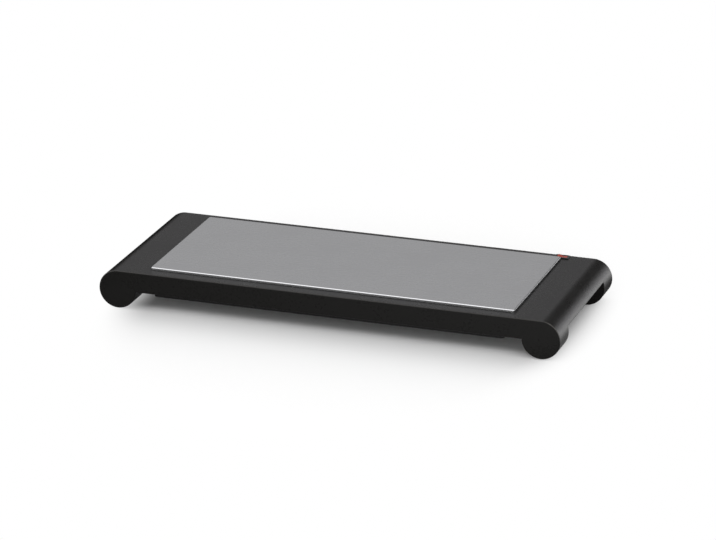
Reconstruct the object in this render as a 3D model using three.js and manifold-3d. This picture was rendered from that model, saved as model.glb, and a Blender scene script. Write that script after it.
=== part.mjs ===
// Electric food warmer tray: a slim black housing whose ends are rolled into cylinders, a raised
// stainless heating plate with its sheathed element below, and a lit rocker switch.
// Millimetres. X runs along the tray, Y to the rear, Z up. The origin is under the middle, on the table.

import * as THREE from 'three';
import { mergeVertices } from 'three/addons/utils/BufferGeometryUtils.js';
import Module from 'manifold-3d';

// General
const seatGap = 0.3;
const pressGap = 0.15;
const cutOverrun = 1;
const weldDepth = 0.2;
const mergeGap = 1e-4;
const looseGap = 0.6;
const quarterTurn = Math.PI / 2;

// Facets of the rounded forms
const rollHalfSteps = 26;
const rollRestSteps = 14;
const curlSteps = 10;
const edgeSteps = 3;
const cornerSteps = 5;
const slotSteps = 2;
const turnSteps = 8;
const largeSides = 24;
const roundSides = 16;
const mediumSides = 12;
const smallSides = 10;
const tubeSides = 8;
const wireSides = 6;
const nutSides = 6;

// Housing
const trayLength = 600;
const trayDepth = 238;
const rollRadius = 24.6;
const padStand = 1;
const housingWall = 2.6;
const housingEdge = 1.4;
const faceHeight = 26.2;
const drumDepth = 38;
const gripReach = 50;
const lipAngle = THREE.MathUtils.degToRad(69);
const collarWall = 2.2;
const collarDrop = 2;
const ribWall = 2;
const ribDrop = 4;
const sideRibShares = [-0.75, -0.25, 0.25, 0.75];
const marginRibShare = 0.665;

// Heating plate and its seal
const plateMarginX = 63;
const plateMarginY = 16.5;
const plateRise = 3.6;
const plateWall = 1;
const plateCorner = 3;
const plateEdge = 1.2;
const studRadius = 2;
const studShare = 0.78;
const studTail = 1.2;
const openingInset = 7;
const gasketInset = 0.2;
const gasketWidth = 5.4;
const gasketHeight = 1.8;
const gasketProud = 0.3;
const gasketCorner = 1.6;

// Stack below the plate
const spreaderMarginX = 19;
const spreaderMarginY = 14.5;
const spreaderWall = 1.5;
const tubeRadius = 3.3;
const runCount = 6;
const runMargin = 13;
const middlePitch = 30;
const turnMargin = 30;
const coldEndReach = 8;
const coldPinRadius = 1.2;
const coldPinLength = 3;
const strapWidth = 12;
const strapWall = 0.8;
const strapFoot = 3;
const strapShares = [-0.573, -0.229, 0.229, 0.573];
const matHeight = 5;
const matWindowLength = 50;
const matWindowDepth = 23;
const shieldWall = 0.8;
const shieldCorner = 4;
const wireHoleRadius = 3;
const wireHoleReach = 6.5;
const barWidth = 14;
const barWall = 1.2;
const nutAcross = 7;
const nutHeight = 3.2;
const lugWall = 0.8;
const lugRadius = 4;
const lugLength = 13;

// Bottom cover, its screws and the foot pads
const coverMargin = 21.5;
const coverDrop = 3.8;
const coverLap = 2.4;
const coverWall = 1.2;
const coverEdge = 1.4;
const coverCorner = 6;
const wellRadius = 5.5;
const wellHeight = 4.5;
const recessRadius = 4.1;
const recessDepth = 3;
const bossRadius = 4;
const bossInset = 10.5;
const bossShares = [-1, -0.335, 0.335, 1];
const screwRadius = 1.4;
const screwLength = 12;
const screwHeadRadius = 3.6;
const screwHeadHeight = 2.2;
const screwCrownShare = 0.55;
const ventShare = 0.46;
const ventCount = 6;
const ventPitch = 11;
const ventWidth = 3.4;
const ventLength = 62;
const padLength = 24;
const padWidth = 12;
const padHeight = 2.4;
const padCorner = 2;

// Thermostat and thermal fuse
const thermostatRadius = 8;
const thermostatHeight = 10;
const thermostatFlange = 32;
const thermostatFlangeDepth = 7;
const thermostatFlangeWall = 0.8;
const thermostatScrewReach = 12;
const smallScrewRadius = 1.2;
const smallHeadRadius = 2.6;
const smallHeadHeight = 1.6;
const tabReach = 13;
const tabWidth = 4;
const tabWall = 0.8;
const tabLift = 1;
const fuseRadius = 2;
const fuseLength = 14;
const fuseLeadRadius = 0.5;
const fuseLeadLength = 4;
const fuseReach = 35;
const clipWidth = 5;
const clipWall = 0.6;
const clipFoot = 3;

// Mains inlet on the rear face
const inletToBoss = 38;
const inletLift = 12.8;
const inletFlangeLength = 30.7;
const inletFlangeHeight = 22.6;
const inletFlangeWall = 1.5;
const inletFlangeCorner = 2;
const inletSunk = 0.2;
const inletBodyLength = 27.4;
const inletBodyHeight = 19.6;
const inletBodyDepth = 19;
const inletPadWall = 2;
const inletPadMargin = 2;
const socketLength = 24.4;
const socketHeight = 16.8;
const socketDepth = 16;
const socketChamfer = 5;
const pinWidth = 2;
const pinHeight = 4;
const pinSpacing = 7;
const pinLow = 2;
const pinHigh = 2;
const pinSunk = 2;
const pinTab = 6;

// Rocker switch on the rear margin
const switchInset = 11.4;
const bezelLength = 18.6;
const bezelDepth = 11.8;
const bezelHeight = 1.4;
const bezelEdge = 0.5;
const bezelCorner = 1.4;
const switchBodyLength = 16;
const switchBodyDepth = 9.6;
const switchBodyDrop = 15;
const pocketLength = 14.4;
const pocketDepth = 8;
const pocketFloorDrop = 8;
const rockerLength = 12.4;
const rockerDepth = 7.3;
const rockerEndHeight = 4.8;
const rockerMiddleHeight = 3.7;
const rockerSkirt = 1;
const rockerWall = 1.1;
const rockerTilt = THREE.MathUtils.degToRad(10);
const pivotDrop = 2.8;
const trunnionRadius = 1;
const trunnionReach = 0.5;
const trunnionGap = 0.2;
const lampRadius = 1.4;
const lampLength = 7;
const terminalSpacing = 5;
const terminalLength = 6;
const terminalWidth = 3;
const terminalWall = 0.6;
const terminalSunk = 1.4;

// Wires
const wireRadius = 1.1;
const wireStep = 9;
const wireLead = 2;
// Points that each wire passes between its two ends, each measured from a named place
const wireRoutes = {
  wire_live_in: [
    ['inlet', -5, -2.7, -9.3], ['inlet', 2, -1.8, -11.2], ['inlet', 20, -1.3, -11.2],
    ['switch', -15, -12.55, -5.2], ['switch', -7, -10.05, -2.4], ['switch', -5, -6.55, -0.8],
  ],
  wire_live_switched: [
    ['switch', 0, -6.55, 0.4], ['switch', 0.5, -13.05, 3.3], ['rearPin', 10.1, 5, -11.35],
    ['rearPin', 10.1, -35, -11.35], ['shieldEnd', 19, 16, -9.85], ['shieldEnd', 14, 8, -5.85],
    ['shieldEnd', 6, 6.5, -1.35], ['shieldEnd', -2, 6.5, 0], ['shieldEnd', -68, 6.5, 0],
    ['thermostat', 60, 6.5, 5.1], ['thermostat', 40, 6.5, 4.3], ['thermostat', 24, 4, 2.3],
    ['thermostat', 19, 1.2, 0.4],
  ],
  wire_fuse: [
    ['thermostat', -17, -2.5, 0.7], ['thermostat', -16, -6.5, 2.1], ['thermostat', -9, -9.9, 3.5],
    ['thermostat', 0, -10.2, 4.3], ['fuse', -24, -8.8, -1], ['fuse', -18, -4.5, -0.2],
  ],
  wire_element: [
    ['fuse', 19, -3, -0.5], ['fuse', 35, -6.5, -1.2], ['shieldEnd', -68, -6.5, 0],
    ['shieldEnd', -2, -6.5, 0], ['shieldEnd', 6, -8, -1.85], ['shieldEnd', 10.5, -16, -5.85],
    ['frontPin', 1.1, 35, -7.85], ['frontPin', 1.1, 13, -7.85], ['frontPin', 0.5, 4, -6.35],
  ],
  wire_neutral: [
    ['inlet', 10, -4.1, -7.6], ['inlet', 20, -5.3, -7.4], ['switch', -15, -18.55, -2.2],
    ['rearPin', 0.1, 13, -14.85], ['rearPin', 0.6, 5, -9.85], ['rearPin', 0.1, 1, -5.85],
  ],
  wire_lamp: [
    ['inlet', 12.5, -3.7, -2.2], ['inlet', 26, -3.8, -3.3], ['switch', -12, -14.55, -1.4],
    ['switch', 0, -11.55, -2.9], ['switch', 5, -6.55, -1.2],
  ],
  wire_earth: [
    ['inlet', -4.1, -5.5, -0.3], ['inlet', -4.2, -7.5, -2.8], ['inlet', -4.5, -9.8, -4],
    ['lug', 3, 9.7, -2.45], ['lug', 0.8, 5.2, -0.85],
  ],
};

// Heights, worked out from the sizes above
const rollZ = padStand + rollRadius;
const frameTop = padStand + 2 * rollRadius;
const skinUnder = frameTop - housingWall;
const faceFoot = frameTop - faceHeight;
const ledgeTop = faceFoot + housingWall;
const collarFoot = skinUnder - collarDrop;
const plateTop = frameTop + plateRise;
const plateUnder = plateTop - plateWall;
const gasketTop = frameTop + gasketProud;
const gasketFoot = gasketTop - gasketHeight;
const spreaderUnder = plateUnder - spreaderWall;
const tubeZ = spreaderUnder - pressGap - tubeRadius;
const strapTop = tubeZ - tubeRadius - pressGap;
const strapUnder = strapTop - strapWall;
const matTop = strapUnder - pressGap;
const matUnder = matTop - matHeight;
const shieldUnder = matUnder - shieldWall;
const shieldTop = spreaderUnder - seatGap;
const barUnder = shieldUnder - barWall;
const studEnd = barUnder - lugWall - nutHeight - studTail;
const coverUnder = faceFoot - coverDrop;
const coverFloor = coverUnder + coverWall;
const coverTop = faceFoot + coverLap;
const wellTop = coverUnder + wellHeight;
const recessTop = coverUnder + recessDepth;
const inletZ = faceFoot + inletLift;
const pivotZ = frameTop - pivotDrop;

// Sizes and places along X and Y, worked out from the sizes above
const halfLength = trayLength / 2;
const halfDepth = trayDepth / 2;
const plateLength = trayLength - 2 * plateMarginX;
const plateDepth = trayDepth - 2 * plateMarginY;
const spreaderLength = plateLength - 2 * spreaderMarginX;
const spreaderDepth = plateDepth - 2 * spreaderMarginY;
const endRunY = spreaderDepth / 2 - runMargin;
const runPitch = (endRunY - middlePitch / 2) / (runCount / 2 - 1);
const turnReach = spreaderLength / 2 - turnMargin;
const studSpacing = studShare * (spreaderLength / 2);
const studReach = endRunY - runPitch / 2;
const rollX = halfLength - rollRadius;
const gripWallX = halfLength - gripReach;
const cavityX = gripWallX - housingWall;
const cavityY = halfDepth - housingWall;
const drumInnerY = halfDepth - drumDepth;
const drumMiddleY = halfDepth - drumDepth / 2;
const openingX = plateLength / 2 - openingInset;
const openingY = plateDepth / 2 - openingInset;
const collarX = openingX + collarWall;
const collarY = openingY + collarWall;
const bossY = (cavityY + collarY) / 2;
const coverX = gripWallX - coverMargin;
const bossReach = coverX - bossInset;
const coverY = cavityY - seatGap;
const coldEndX = spreaderLength / 2 + coldEndReach;
const coldPinX = coldEndX + coldPinLength - wireRadius;
const strapLegY = endRunY + tubeRadius + looseGap;
const inletReach = bossReach - inletToBoss;
const switchReach = cavityX - switchInset;
const switchY = (plateDepth / 2 + halfDepth - housingEdge) / 2;
const inletFaceY = halfDepth - inletSunk;
const inletFlangeY = inletFaceY - inletFlangeWall;
const inletRearY = inletFlangeY - inletBodyDepth;
const pinTabY = inletRearY - pinTab;
const terminalFoot = frameTop - switchBodyDrop - terminalLength;
const terminalZ = terminalFoot + terminalWidth;
const tabZ = spreaderUnder - thermostatHeight + tabLift + tabWall / 2;
const fuseZ = spreaderUnder - seatGap - fuseRadius;
const lugEndY = studReach + lugLength + seatGap;
const lugZ = barUnder - seatGap - wireRadius;

// Named places that the wires' points are measured from
const wirePlaces = {
  inlet: [inletReach, inletRearY, inletZ],
  switch: [switchReach, switchY, terminalZ],
  rearPin: [coldPinX, endRunY, tubeZ],
  frontPin: [coldPinX, -endRunY, tubeZ],
  shieldEnd: [spreaderLength / 2, 0, tubeZ],
  thermostat: [0, 0, tabZ],
  fuse: [fuseReach, 0, fuseZ],
  lug: [studSpacing, lugEndY, lugZ],
};

const wasm = await Module();
wasm.setup();

const finishes = {
  housing: { color: 0x2c2b2a, roughness: 0.4, metalness: 0 },
  steel: { color: 0xb4b6b8, roughness: 0.32, metalness: 0.95 },
  zinc: { color: 0x9a9c9b, roughness: 0.45, metalness: 0.9 },
  aluminium: { color: 0xc4c6c8, roughness: 0.4, metalness: 0.9 },
  element: { color: 0x6b6660, roughness: 0.5, metalness: 0.8 },
  brass: { color: 0xb89850, roughness: 0.35, metalness: 0.95 },
  fibre: { color: 0xe6e3da, roughness: 0.95, metalness: 0 },
  silicone: { color: 0x3a3a3b, roughness: 0.75, metalness: 0 },
  rubber: { color: 0x1c1c1c, roughness: 0.85, metalness: 0 },
  cover: { color: 0x262626, roughness: 0.5, metalness: 0.3 },
  fitting: { color: 0x161616, roughness: 0.5, metalness: 0 },
  ceramic: { color: 0xd8d2c4, roughness: 0.6, metalness: 0 },
  redLens: { color: 0xb02818, roughness: 0.25, metalness: 0 },
  lamp: { color: 0xe8c8b8, roughness: 0.1, metalness: 0 },
  brownWire: { color: 0x5a3420, roughness: 0.6, metalness: 0 },
  blueWire: { color: 0x2a4a8c, roughness: 0.6, metalness: 0 },
  greenWire: { color: 0x6a9a30, roughness: 0.6, metalness: 0 },
  whiteWire: { color: 0xdcdad2, roughness: 0.7, metalness: 0 },
};
const materials = {};
for (const [name, finish] of Object.entries(finishes)) {
  materials[name] = new THREE.MeshStandardMaterial({ ...finish, flatShading: true });
}

const tray = new THREE.Group();
const rocker = new THREE.Group();
tray.add(rocker);

// A closed geometry becomes a solid that can be cut and joined
function toSolid(geometry) {
  const bare = geometry.clone();
  bare.deleteAttribute('normal');
  bare.deleteAttribute('uv');
  const merged = mergeVertices(bare, mergeGap);
  const index = merged.index.array;
  const corners = [];
  for (let i = 0; i < index.length; i += 3) {
    const [a, b, c] = [index[i], index[i + 1], index[i + 2]];
    if (a !== b && b !== c && c !== a) corners.push(a, b, c);
  }
  const vertProperties = Float32Array.from(merged.attributes.position.array);
  const triVerts = Uint32Array.from(corners);
  return new wasm.Manifold(new wasm.Mesh({ numProp: 3, vertProperties, triVerts }));
}

function toGeometry(solid) {
  const mesh = solid.getMesh();
  const geometry = new THREE.BufferGeometry();
  geometry.setAttribute('position', new THREE.BufferAttribute(mesh.vertProperties, mesh.numProp));
  geometry.setIndex(new THREE.BufferAttribute(mesh.triVerts, 1));
  return geometry;
}

function addPiece(name, solid, finish, parent = tray) {
  const piece = new THREE.Mesh(toGeometry(solid), materials[finish]);
  piece.name = name;
  parent.add(piece);
  return piece;
}

function joined(solids) {
  return solids.reduce((sum, solid) => sum.add(solid));
}

function cut(solid, tools) {
  return tools.reduce((rest, tool) => rest.subtract(tool), solid);
}

// Flat outlines
function arc(x, y, radius, from, to, steps) {
  return new THREE.EllipseCurve(x, y, radius, radius, from, to, to < from).getPoints(steps);
}

function outline(points) {
  const kept = points.filter((p, i) => p.distanceTo(points[(i + 1) % points.length]) > mergeGap);
  return new THREE.Shape(kept);
}

function polygon(pairs) {
  return new THREE.Shape(pairs.map(([x, y]) => new THREE.Vector2(x, y)));
}

function roundedRect(halfX, halfY, radius, x = 0, y = 0, steps = cornerSteps) {
  const [inX, inY] = [halfX - radius, halfY - radius];
  return outline([
    ...arc(x + inX, y + inY, radius, 0, quarterTurn, steps),
    ...arc(x - inX, y + inY, radius, quarterTurn, 2 * quarterTurn, steps),
    ...arc(x - inX, y - inY, radius, 2 * quarterTurn, 3 * quarterTurn, steps),
    ...arc(x + inX, y - inY, radius, 3 * quarterTurn, 4 * quarterTurn, steps),
  ]);
}

// Solids drawn out of an outline along one axis
function drawn(shape, length, edge = 0, steps = edgeSteps) {
  const bevel = { bevelThickness: edge, bevelSize: edge, bevelOffset: -edge, bevelSegments: steps };
  const options = { depth: length - 2 * edge, bevelEnabled: edge > 0, ...bevel };
  return new THREE.ExtrudeGeometry(shape, options).translate(0, 0, edge);
}

function alongZ(shape, from, to, edge = 0) {
  return toSolid(drawn(shape, to - from, edge).translate(0, 0, from));
}

function alongY(shape, from, to, edge = 0) {
  return toSolid(drawn(shape, to - from, edge).rotateX(quarterTurn).translate(0, to, 0));
}

function alongX(shape, from, to) {
  const turned = new THREE.Matrix4().makeBasis(
    new THREE.Vector3(0, 1, 0),
    new THREE.Vector3(0, 0, 1),
    new THREE.Vector3(1, 0, 0),
  );
  return toSolid(drawn(shape, to - from).applyMatrix4(turned).translate(from, 0, 0));
}

function block(fromX, toX, fromY, toY, fromZ, toZ) {
  const size = new THREE.BoxGeometry(toX - fromX, toY - fromY, toZ - fromZ);
  return toSolid(size.translate((fromX + toX) / 2, (fromY + toY) / 2, (fromZ + toZ) / 2));
}

function slab(halfX, halfY, fromZ, toZ) {
  return block(-halfX, halfX, -halfY, halfY, fromZ, toZ);
}

function postZ(radius, x, y, from, to, sides = roundSides) {
  const post = new THREE.CylinderGeometry(radius, radius, to - from, sides);
  return toSolid(post.rotateX(quarterTurn).translate(x, y, (from + to) / 2));
}

function rodY(radius, x, z, from, to, sides = roundSides) {
  const rod = new THREE.CylinderGeometry(radius, radius, to - from, sides);
  return toSolid(rod.translate(x, (from + to) / 2, z));
}

function rodX(radius, y, z, from, to, sides = roundSides) {
  const rod = new THREE.CylinderGeometry(radius, radius, to - from, sides);
  return toSolid(rod.rotateZ(quarterTurn).translate((from + to) / 2, y, z));
}

function turnedZ(profile, sides = roundSides) {
  const points = profile.map(([radius, z]) => new THREE.Vector2(radius, z));
  return toSolid(new THREE.LatheGeometry(points, sides).rotateX(quarterTurn));
}

function eachCorner(x, y, make) {
  return [[-1, -1], [1, -1], [-1, 1], [1, 1]].map(([sx, sy]) => make(sx * x, sy * y));
}

const studPlaces = [-1, 0, 1].flatMap((sx) => [-1, 1].map((sy) => [sx * studSpacing, sy * studReach]));

function studHoles(radius, from, to) {
  return studPlaces.map(([x, y]) => postZ(radius, x, y, from, to, smallSides));
}

// Housing: one moulding, drawn from the outline of the tray's long face
function housingOutline() {
  const dip = Math.asin((rollZ - faceFoot) / rollRadius);
  return outline([
    ...arc(rollX, rollZ, rollRadius, quarterTurn, -quarterTurn, rollHalfSteps),
    ...arc(rollX, rollZ, rollRadius, -quarterTurn, dip - 2 * quarterTurn, rollRestSteps),
    ...arc(-rollX, rollZ, rollRadius, -dip, -quarterTurn, rollRestSteps),
    ...arc(-rollX, rollZ, rollRadius, -quarterTurn, -3 * quarterTurn, rollHalfSteps),
  ]);
}

// The lip ends at this angle round the roll
function lipPoint(radius) {
  return [rollX + radius * Math.sin(lipAngle), rollZ + radius * Math.cos(lipAngle)];
}

// The space under a curled lip, between the front and the rear drum
function gripSpace(side) {
  const inner = rollRadius - housingWall;
  const outerX = halfLength + cutOverrun;
  const [tipX, tipZ] = lipPoint(rollRadius + cutOverrun);
  const curl = arc(rollX, rollZ, inner, quarterTurn - lipAngle, quarterTurn, curlSteps);
  const points = [
    [gripWallX, -cutOverrun],
    [outerX, -cutOverrun],
    [outerX, tipZ],
    [tipX, tipZ],
    ...curl.map((p) => [p.x, p.y]),
    [gripWallX, skinUnder],
  ];
  return alongY(polygon(points.map(([x, z]) => [side * x, z])), -drumInnerY, drumInnerY);
}

function lipBead(side) {
  const [x, z] = lipPoint(rollRadius - housingWall / 2);
  return rodY(housingWall / 2, side * x, z, -drumInnerY - weldDepth, drumInnerY + weldDepth);
}

function drumSpaces() {
  const from = drumInnerY + housingWall;
  return [-1, 1].flatMap((sx) => [-1, 1].flatMap((sy) => {
    const [lowY, highY] = sy < 0 ? [-cavityY, -from] : [from, cavityY];
    const [lowX, highX] = sx < 0 ? [-rollX, -cavityX + cutOverrun] : [cavityX - cutOverrun, rollX];
    const drum = rodY(rollRadius - housingWall, sx * rollX, rollZ, lowY, highY, largeSides);
    return [drum, block(lowX, highX, lowY, highY, ledgeTop, skinUnder)];
  }));
}

function housingRibs() {
  const foot = skinUnder - ribDrop;
  const top = skinUnder + weldDepth;
  const half = ribWall / 2;
  const sides = sideRibShares.flatMap((share) => [-1, 1].map((side) => {
    const ends = [side * (collarX - weldDepth), side * (cavityX + weldDepth)];
    const y = share * drumInnerY;
    return block(Math.min(...ends), Math.max(...ends), y - half, y + half, foot, top);
  }));
  const margins = [-1, 0, 1].flatMap((sx) => [-1, 1].map((side) => {
    const ends = [side * (collarY - weldDepth), side * (cavityY + weldDepth)];
    const x = sx * marginRibShare * bossReach;
    return block(x - half, x + half, Math.min(...ends), Math.max(...ends), foot, top);
  }));
  return [...sides, ...margins];
}

function bossPlaces() {
  return bossShares.flatMap((share) => [-1, 1].map((side) => [share * bossReach, side * bossY]));
}

function inletRect(length, height, grow = 0, corner = 0) {
  const [halfX, halfZ] = [length / 2 + grow, height / 2 + grow];
  if (corner > 0) return roundedRect(halfX, halfZ, corner, inletReach, inletZ);
  return polygon([[-1, -1], [1, -1], [1, 1], [-1, 1]]
    .map(([sx, sz]) => [inletReach + sx * halfX, inletZ + sz * halfZ]));
}

function makeHousing() {
  const shell = alongY(housingOutline(), -halfDepth, halfDepth, housingEdge);
  const hollow = cut(shell, [
    slab(cavityX, cavityY, ledgeTop, skinUnder),
    slab(coverX + seatGap, cavityY, faceFoot - cutOverrun, ledgeTop + cutOverrun),
    ...drumSpaces(),
    gripSpace(-1),
    gripSpace(1),
  ]);
  const inletPadX = inletFlangeLength / 2 + inletPadMargin;
  const inletPad = block(
    inletReach - inletPadX,
    inletReach + inletPadX,
    cavityY - inletPadWall,
    cavityY + weldDepth,
    coverTop + seatGap,
    skinUnder + weldDepth,
  );
  const collarCorner = plateCorner + collarWall;
  const stiff = joined([
    hollow,
    lipBead(-1),
    lipBead(1),
    alongZ(roundedRect(collarX, collarY, collarCorner), collarFoot, skinUnder + weldDepth),
    inletPad,
    ...housingRibs(),
    ...bossPlaces().map(([x, y]) => postZ(bossRadius, x, y, wellTop, skinUnder + weldDepth)),
  ]);
  const rebateX = plateLength / 2 - gasketInset + seatGap;
  const rebateY = plateDepth / 2 - gasketInset + seatGap;
  const padPocket = (x, y) => alongZ(
    roundedRect(padWidth / 2 + seatGap, padLength / 2 + seatGap, padCorner, x, y),
    -cutOverrun,
    padHeight,
  );
  const switchHole = block(
    switchReach - switchBodyLength / 2 - seatGap,
    switchReach + switchBodyLength / 2 + seatGap,
    switchY - switchBodyDepth / 2 - seatGap,
    switchY + switchBodyDepth / 2 + seatGap,
    skinUnder - cutOverrun,
    frameTop + cutOverrun,
  );
  const pilotTop = recessTop + screwLength + cutOverrun;
  return cut(stiff, [
    alongZ(roundedRect(openingX, openingY, plateCorner), collarFoot - cutOverrun, frameTop + cutOverrun),
    alongZ(roundedRect(rebateX, rebateY, plateCorner), gasketFoot, frameTop + cutOverrun),
    ...bossPlaces().map(([x, y]) => postZ(screwRadius + seatGap, x, y, wellTop - cutOverrun, pilotTop)),
    alongY(
      inletRect(inletFlangeLength, inletFlangeHeight, seatGap, inletFlangeCorner),
      inletFlangeY,
      halfDepth + cutOverrun,
    ),
    alongY(
      inletRect(inletBodyLength, inletBodyHeight, seatGap),
      cavityY - inletPadWall - cutOverrun,
      halfDepth,
    ),
    switchHole,
    ...eachCorner(rollX, drumMiddleY, padPocket),
  ]);
}

// Heating plate: pressed lid with a turned-down skirt and welded studs
function makePlate() {
  const half = [plateLength / 2, plateDepth / 2];
  const press = (inset, top, edge) => {
    const shape = roundedRect(half[0] - inset, half[1] - inset, plateCorner - inset);
    return alongZ(shape, gasketTop - plateRise, top, edge);
  };
  const cap = cut(press(0, plateTop, plateEdge), [
    press(plateWall, plateUnder, plateEdge - plateWall),
    slab(plateLength, plateDepth, gasketTop - plateRise - cutOverrun, gasketTop),
  ]);
  const stud = (x, y) => postZ(studRadius, x, y, studEnd, plateUnder + weldDepth, smallSides);
  return joined([cap, ...studPlaces.map(([x, y]) => stud(x, y))]);
}

function makeGasket() {
  const outer = [plateLength / 2 - gasketInset, plateDepth / 2 - gasketInset];
  const inner = [outer[0] - gasketWidth, outer[1] - gasketWidth];
  const band = alongZ(roundedRect(...outer, plateCorner), gasketFoot, gasketTop);
  const core = roundedRect(...inner, gasketCorner);
  return cut(band, [alongZ(core, gasketFoot - cutOverrun, gasketTop + cutOverrun)]);
}

function makeSpreader() {
  const sheet = slab(spreaderLength / 2, spreaderDepth / 2, spreaderUnder, plateUnder);
  const [from, to] = [spreaderUnder - cutOverrun, plateUnder + cutOverrun];
  const screwHoles = [-1, 1].map((side) => (
    postZ(smallScrewRadius + seatGap, side * thermostatScrewReach, 0, from, to)
  ));
  return cut(sheet, [...studHoles(studRadius + seatGap, from, to), ...screwHoles]);
}

// Heating element: one sheathed tube in straight runs and half turns, both cold ends at the right
class StationPath extends THREE.Curve {
  constructor(stations) {
    super();
    this.stations = stations;
  }

  getPointAt(share, target = new THREE.Vector3()) {
    const last = this.stations.length - 1;
    return target.copy(this.stations[Math.round(share * last)]);
  }

  getTangentAt(share, target = new THREE.Vector3()) {
    const last = this.stations.length - 1;
    const here = Math.round(share * last);
    const before = this.stations[Math.max(here - 1, 0)];
    const after = this.stations[Math.min(here + 1, last)];
    return target.subVectors(after, before).normalize();
  }
}

function roundSection(radius, sides) {
  return outline(arc(0, 0, radius, 0, 4 * quarterTurn, sides).slice(0, sides));
}

// The two middle runs leave room for the thermostat, and the others share what is left
function runY(run) {
  const fromMiddle = run - (runCount - 1) / 2;
  return Math.sign(fromMiddle) * ((middlePitch - runPitch) / 2) + fromMiddle * runPitch;
}

function elementStations() {
  const stations = [];
  for (let run = 0; run < runCount; run += 1) {
    const y = runY(run);
    const heading = run % 2 === 0 ? -1 : 1;
    const startX = run === 0 ? coldEndX : -heading * turnReach;
    const endX = run === runCount - 1 ? coldEndX : heading * turnReach;
    stations.push(new THREE.Vector3(startX, y, tubeZ), new THREE.Vector3(endX, y, tubeZ));
    if (run === runCount - 1) break;
    const turnRadius = (runY(run + 1) - y) / 2;
    for (let step = 1; step < turnSteps; step += 1) {
      const angle = (step / turnSteps) * 2 * quarterTurn;
      const x = endX + heading * turnRadius * Math.sin(angle);
      stations.push(new THREE.Vector3(x, y + turnRadius * (1 - Math.cos(angle)), tubeZ));
    }
  }
  return stations;
}

function makeElement() {
  const stations = elementStations();
  const tube = new THREE.ExtrudeGeometry(roundSection(tubeRadius, tubeSides), {
    steps: stations.length - 1,
    extrudePath: new StationPath(stations),
  });
  const [pinFrom, pinTo] = [coldEndX - weldDepth, coldEndX + coldPinLength];
  const pin = (y) => rodX(coldPinRadius, y, tubeZ, pinFrom, pinTo, tubeSides);
  return joined([toSolid(tube), pin(-endRunY), pin(endRunY)]);
}

// Hat-shaped strip across the tray: a low middle, two legs and two feet that turn outwards
function hatStrip(x, width, legY, footY, low, high, wall) {
  const half = [
    [legY + wall, low],
    [legY + wall, high - wall],
    [footY, high - wall],
    [footY, high],
    [legY, high],
    [legY, low + wall],
  ];
  const mirrored = half.map(([y, z]) => [-y, z]).reverse();
  return alongX(polygon([...half, ...mirrored]), x - width / 2, x + width / 2);
}

function makeStrap(x) {
  const footY = strapLegY + strapWall + strapFoot;
  return hatStrip(x, strapWidth, strapLegY, footY, strapUnder, spreaderUnder, strapWall);
}

function makeMat() {
  const reach = [spreaderLength / 2 - shieldWall - seatGap, spreaderDepth / 2 - shieldWall - seatGap];
  const window = slab(matWindowLength / 2, matWindowDepth / 2, matUnder - cutOverrun, matTop + cutOverrun);
  return cut(alongZ(roundedRect(...reach, shieldCorner), matUnder, matTop), [
    window,
    ...studHoles(studRadius + seatGap, matUnder - cutOverrun, matTop + cutOverrun),
  ]);
}

function makeShield() {
  const [halfX, halfY] = [spreaderLength / 2, spreaderDepth / 2];
  const tub = alongZ(roundedRect(halfX, halfY, shieldCorner), shieldUnder, shieldTop);
  const inside = roundedRect(halfX - shieldWall, halfY - shieldWall, shieldCorner - shieldWall);
  const [from, to] = [halfX - shieldWall - cutOverrun, halfX + cutOverrun];
  return cut(tub, [
    alongZ(inside, matUnder, shieldTop + cutOverrun),
    ...studHoles(studRadius + seatGap, shieldUnder - cutOverrun, matUnder + cutOverrun),
    ...[-endRunY, endRunY].map((y) => rodX(tubeRadius + looseGap, y, tubeZ, from, to)),
    ...[-1, 1].map((side) => rodX(wireHoleRadius, side * wireHoleReach, tubeZ, from, to)),
  ]);
}

function makeBar(x) {
  const legY = spreaderDepth / 2 + seatGap;
  const bar = hatStrip(x, barWidth, legY, collarY - seatGap, barUnder, collarFoot, barWall);
  const [from, to] = [barUnder - cutOverrun, shieldUnder + cutOverrun];
  return cut(bar, [-1, 1].map((side) => postZ(studRadius + seatGap, x, side * studReach, from, to)));
}

function makeNut(x, y, top) {
  const nut = postZ(nutAcross / (2 * Math.cos(Math.PI / nutSides)), x, y, top - nutHeight, top, nutSides);
  return cut(nut, [postZ(studRadius + seatGap, x, y, top - nutHeight - cutOverrun, top + cutOverrun)]);
}

// Ring terminal of the earth wire, held by the nut at the rear right stud
function makeLug() {
  const [top, foot] = [barUnder, barUnder - lugWall];
  const tongue = block(
    studSpacing - lugRadius / 2,
    studSpacing + lugRadius / 2,
    studReach,
    studReach + lugLength,
    foot,
    top,
  );
  const ring = joined([postZ(lugRadius, studSpacing, studReach, foot, top), tongue]);
  const [from, to] = [foot - cutOverrun, top + cutOverrun];
  return cut(ring, [postZ(studRadius + seatGap, studSpacing, studReach, from, to)]);
}

// Bottom cover: shallow pan with screw wells and vent slots
function ventPlaces() {
  const places = [];
  for (const side of [-1, 1]) {
    for (let i = 0; i < ventCount; i += 1) {
      places.push(side * ventShare * coverX + (i - (ventCount - 1) / 2) * ventPitch);
    }
  }
  return places;
}

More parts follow.
